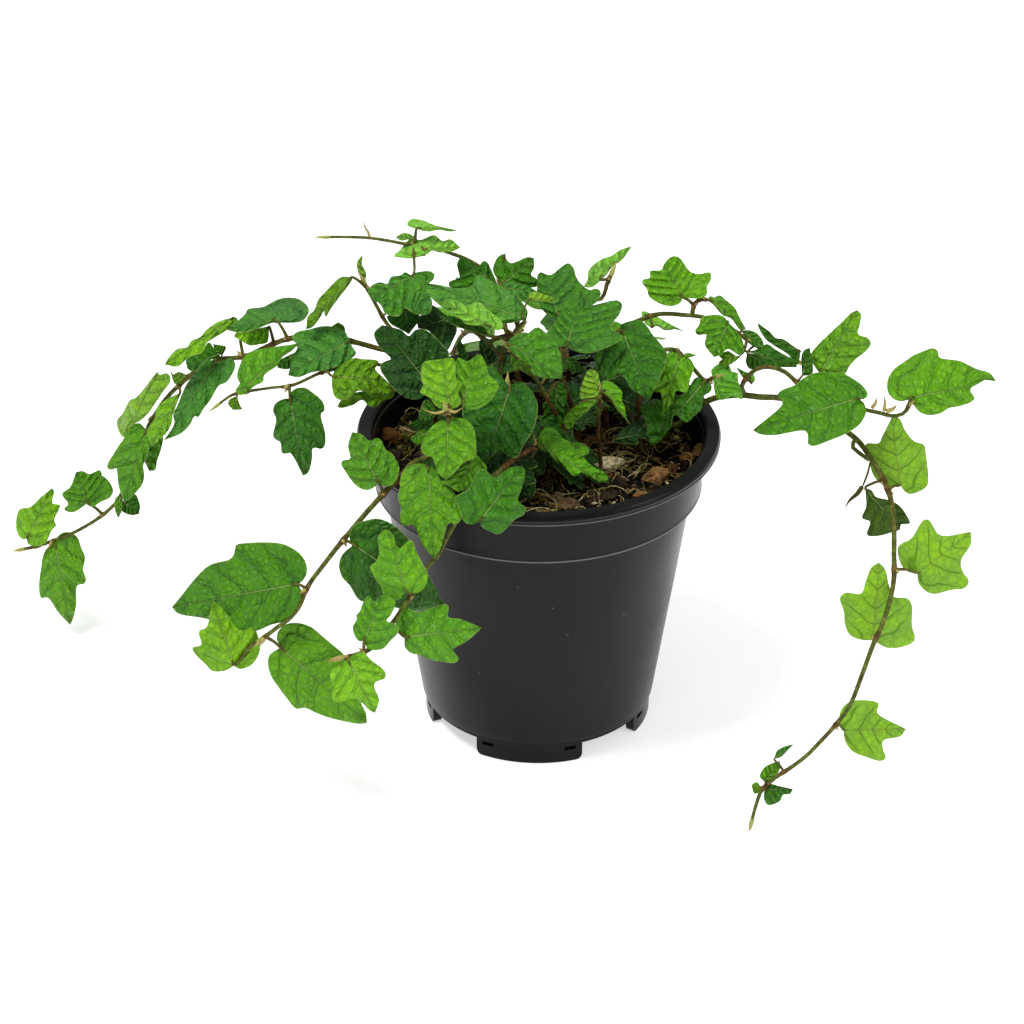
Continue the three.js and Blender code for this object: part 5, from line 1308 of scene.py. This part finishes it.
def soilMaterial(name, stops, roughness):
    # peat, bark and roots are fibrous and dull, near black where damp, with fibres of about 2 mm and
    # grains of 0.6 mm; woody picks a place in the stops
    material, node = newMaterial(name)
    place = node("TexCoord", out="Object")
    coarse = node("TexNoise", {"Vector": place, "Scale": 420.0, "Detail": 6.0, "Roughness": 0.65})
    fine = node("TexNoise", {"Vector": place, "Scale": 1700.0, "Detail": 4.0})
    own = node("Attribute", out=2, attribute_name="woody")
    wander = node("Math", [node("Math", [coarse, 0.5], **difference), 0.35], **product)
    colour = node("ValToRGB", [node("Math", [own, wander], use_clamp=True, **total)], stops=stops)
    damp = node("MapRange", [fine, 0.42, 0.62, 0.0, 0.65], **easing)
    colour = node("Mix", {0: damp, 6: colour, 7: linear(soilLooks["damp"])}, **mixColours)
    height = node("Math", [coarse, node("Math", [fine, 0.4], **product)], **total)
    surface(node, colour, roughness, height, soilLooks["relief"], IOR=1.4, Specular_IOR_Level=0.12)
    return material


peat = soilMaterial("dampPeatCrumbled", peatStops, 0.9)
chipWood = soilMaterial("pineBarkBroken", barkStops, 0.8)
oldRoots = soilMaterial("dryRootFibre", rootStops, 0.7)
mossGreen = soilMaterial("mossFrondFine", mossStops, 0.75)
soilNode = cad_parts["soil"].data
soilNode.materials.clear()
soilNode.materials.append(peat)


def scattered(random, count, reach):
    # places spread evenly over the soil's disc
    turn, radius = random.uniform(0, 2 * math.pi, count), reach * np.sqrt(random.uniform(0, 1, count))
    return radius * np.cos(turn), radius * np.sin(turn)


def onSoil(x, y):
    # where the sight line through a picture point meets the soil
    line = sightLine(np.array([x, y], float))
    return eye + line * (soilLevel + 0.6 - eye[2]) / line[2]


def makeCrumbs():
    random = np.random.default_rng(5)
    shapes = []
    for kind, width, sink in (("crumbs", "crumbMm", 0.25), ("clods", "clodMm", 0.1)):
        count, (low, high) = soilLooks[kind], soilLooks[width]
        x, y = scattered(random, count, soilLooks["reach"] - high)
        size = low + (high - low) * random.uniform(0, 1, count) ** 2
        sizes = size[:, None] * random.uniform(0.6, 1.2, (count, 3)) * [1, 1, 0.75]
        centres = np.stack([x, y, soilHeight(x, y) + size * sink], axis=1)
        tone = np.tile((random.uniform(0, 1, count) ** 2.2)[:, None, None], (1, 5, 1))
        turns = random.uniform(0, 6.3, count)
        shapes.append(lumps(random, centres, sizes, turns, 0.26, {"woody": tone}))
    return makePiece("soilCrumbs", shapes, [peat])


def makeChips():
    random = np.random.default_rng(8)
    shapes = []
    for x, y, length, width, height, turn, tone in soilLooks["chips"]:
        centre = onSoil(x, y)[None] + [[0, 0, height * 0.25]]
        sizes, turns = np.array([[length, width, height]]), np.radians([turn])
        shapes.append(lumps(random, centre, sizes, turns, 0.16, {"woody": np.full((1, 7, 1), tone)}, 7, 11))
    count = soilLooks["flakes"]
    x, y = scattered(random, count, soilLooks["reach"] - 1.5)
    sizes = random.uniform(*soilLooks["flakeMm"], (count, 1)) * random.uniform(0.5, 1.3, (count, 3))
    sizes = sizes * [1.4, 0.8, 0.5]
    tone = np.tile(random.uniform(0.3, 1.0, (count, 1, 1)), (1, 5, 1))
    centres = np.stack([x, y, soilHeight(x, y) + 0.7], axis=1)
    turns = random.uniform(0, 6.3, count)
    shapes.append(lumps(random, centres, sizes, turns, 0.2, {"woody": tone}))
    return makePiece("barkChips", shapes, [chipWood])


def wanderers(random, x, y, length, bend, lift, steps):
    # threads that wander over the soil: a heading that turns smoothly, and a height that rises in arcs
    count = len(x)
    t = np.linspace(0, 1, steps)
    waves = random.normal(0, bend, (count, 3))
    heading = random.uniform(0, 2 * math.pi, (count, 1)) + waves[:, :1] * t
    heading = heading + waves[:, 1:2] * np.sin(5 * t) + waves[:, 2:] * np.sin(9 * t) * 0.5
    step = length[:, None] / (steps - 1)
    px = x[:, None] + np.cumsum(np.cos(heading) * step, axis=1)
    py = y[:, None] + np.cumsum(np.sin(heading) * step, axis=1)
    far = np.maximum(1, np.hypot(px, py) / (soilLooks["reach"] - 1.0))
    px, py = px / far, py / far
    arcs = np.abs(np.sin(t * math.pi * random.uniform(0.8, 2.4, (count, 1))))
    rise = arcs * random.uniform(0.1, 1.0, (count, 1)) * lift
    return np.stack([px, py, soilHeight(px, py) + 0.5 + rise], axis=2)


def makeRoots():
    random = np.random.default_rng(21)
    count, steps = soilLooks["roots"], 16
    x, y = scattered(random, count, soilLooks["reach"] - 4)
    length = random.uniform(*soilLooks["rootMm"], count)
    paths = wanderers(random, x, y, length, 1.3, 3.0, steps)
    radii = random.uniform(*soilLooks["rootRadius"], (count, 1)) * np.linspace(1, 0.5, steps)
    tone = np.tile(random.uniform(0, 1, (count, 1, 1)), (1, steps, 1))
    return makePiece("soilRoots", [tubes(paths, radii, 4, {"woody": tone})], [oldRoots])


def makeMoss():
    random = np.random.default_rng(34)
    count, steps = soilLooks["moss"], 7
    tufts = np.array([onSoil(x, y)[:2] for x, y in soilLooks["tufts"]])
    chosen = tufts[random.integers(0, len(tufts), count)]
    chosen = chosen + random.normal(0, soilLooks["mossSpread"], (count, 2))
    length = soilLooks["mossMm"] * random.uniform(0.7, 2.2, count)
    paths = wanderers(random, chosen[:, 0], chosen[:, 1], length, 1.0, 1.4, steps)
    radii = random.uniform(*soilLooks["mossRadius"], (count, 1)) * np.linspace(1, 0.3, steps)
    tone = np.tile(random.uniform(0, 1, (count, 1, 1)), (1, steps, 1))
    return makePiece("soilMoss", [tubes(paths, radii, 3, {"woody": tone})], [mossGreen])


makeCrumbs()
makeChips()
makeRoots()
makeMoss()
print("soil made")

# Buds, scales and stubs read from the photograph: path of picture x, picture y and depth, radius at
# its start and end in mm, and the place of its material in figMaterials
smallThings = [
    ("370,238,20 368,232,20 365,227,20 363,221,20", 0.42, 0.08, 3),
    ("486,345,-2 495,339,-2 505,336,-3 516,333,-3 524,330,-3", 0.75, 0.4, 2),
    ("504,262,16 505,256,16 505,250,16", 0.3, 0.05, 2),
    ("607,279,16 610,275,16 613,271,16", 0.45, 0.12, 3),
    ("447,409,-37 438,413,-37 427,411,-37 421,407,-37", 0.45, 0.08, 3),
    ("447,409,-37 455,412,-38 462,408,-38", 0.5, 0.1, 3),
    ("536,448,-16 533,455,-16 530,463,-17", 0.5, 0.1, 3),
    ("538,447,-16 535,441,-16 533,434,-16", 0.4, 0.08, 3),
    ("872,408,-9 876,402,-9 876,397,-9", 0.6, 0.1, 3),
    ("884,411,-9 885,403,-9 884,396,-9", 0.55, 0.1, 3),
    ("886,411,-9 891,410,-9 896,406,-9", 0.8, 0.3, 3),
    ("870,463,-12 868,472,-12 864,483,-12 861,490,-12", 0.3, 0.22, 2),
    ("862,487,-12 857,494,-12 850,500,-12 845,508,-12", 0.8, 0.1, 2),
    ("344,657,-54 338,658,-55 333,659,-55 328,661,-55", 0.7, 0.15, 3),
    ("598,398,-14 592,399,-14 585,401,-14 578,403,-14", 0.5, 0.15, 3),
]


def makeSmallThings():
    # spindles: the radius goes evenly from start to end, swollen in the middle
    shapes = []
    t = np.linspace(0, 1, 10)
    for text, startRadius, endRadius, slot in smallThings:
        path = evenly(curveThrough(atDepth(readPoints(text)), 8), len(t))
        radius = (startRadius + (endRadius - startRadius) * t) * (0.75 + 0.35 * np.sin(math.pi * t))
        shapes.append(tubes(path[None], radius[None], 6, {"woody": (0.3 + 0.6 * t)[None, :, None]}, slot))
    return makePiece("budsAndScales", shapes, figMaterials)


makeSmallThings()
print("small things made")

# Floor and light: a pale floor, an even white room and two large soft lamps, each with its place
# and width in metres and its power in watts
studio = {
    "floor": "#eeeeee", "floorPaler": "#f7f7f7", "floorGlow": 0.6, "floorHalf": 4.0, "room": 0.44,
    "lamps": [((-0.5, -0.3, 1.4), 0.45, 17.0), ((1.0, -0.4, 0.6), 0.5, 4.0)],
}


def paperMaterial():
    # matt paper, a little uneven over 30 mm, that glows faintly so that it stays white in its far parts
    material, node = newMaterial("paleStudioPaper")
    place = node("TexCoord", out="Object")
    grain = node("TexNoise", {"Vector": place, "Scale": 30.0})
    plain, paler = linear(studio["floor"]), linear(studio["floorPaler"])
    tone = node("Mix", {0: grain, 6: plain, 7: paler}, **mixColours)
    surface(node, tone, 0.9, Emission_Color=tone, Emission_Strength=studio["floorGlow"])
    return material


half = studio["floorHalf"]
floorCorners = [(-half, -half, 0), (half, -half, 0), (half, half, 0), (-half, half, 0)]
floorMesh = bpy.data.meshes.new("studioFloor")
floorMesh.from_pydata(floorCorners, [], [(0, 1, 2, 3)])
floorMesh.materials.append(paperMaterial())
floor = bpy.data.objects.new("studioFloor", floorMesh)
bpy.context.scene.collection.objects.link(floor)
room = bpy.data.worlds.new("studioRoom")
room.use_nodes = True
room.node_tree.nodes["Background"].inputs[0].default_value = (1, 1, 1, 1)
room.node_tree.nodes["Background"].inputs[1].default_value = studio["room"]
bpy.context.scene.world = room
for number, (spot, width, power) in enumerate(studio["lamps"]):
    lampData = bpy.data.lights.new("softLamp" + str(number), "AREA")
    lampData.energy, lampData.size = power, width
    lamp = bpy.data.objects.new(lampData.name, lampData)
    lamp.location = spot
    x, y, z = spot
    lamp.rotation_euler = (math.atan2(math.hypot(x, y), z), 0, math.atan2(-y, -x) - math.pi / 2)
    bpy.context.scene.collection.objects.link(lamp)
bpy.context.scene.view_settings.view_transform = "Standard"
print("studio made")
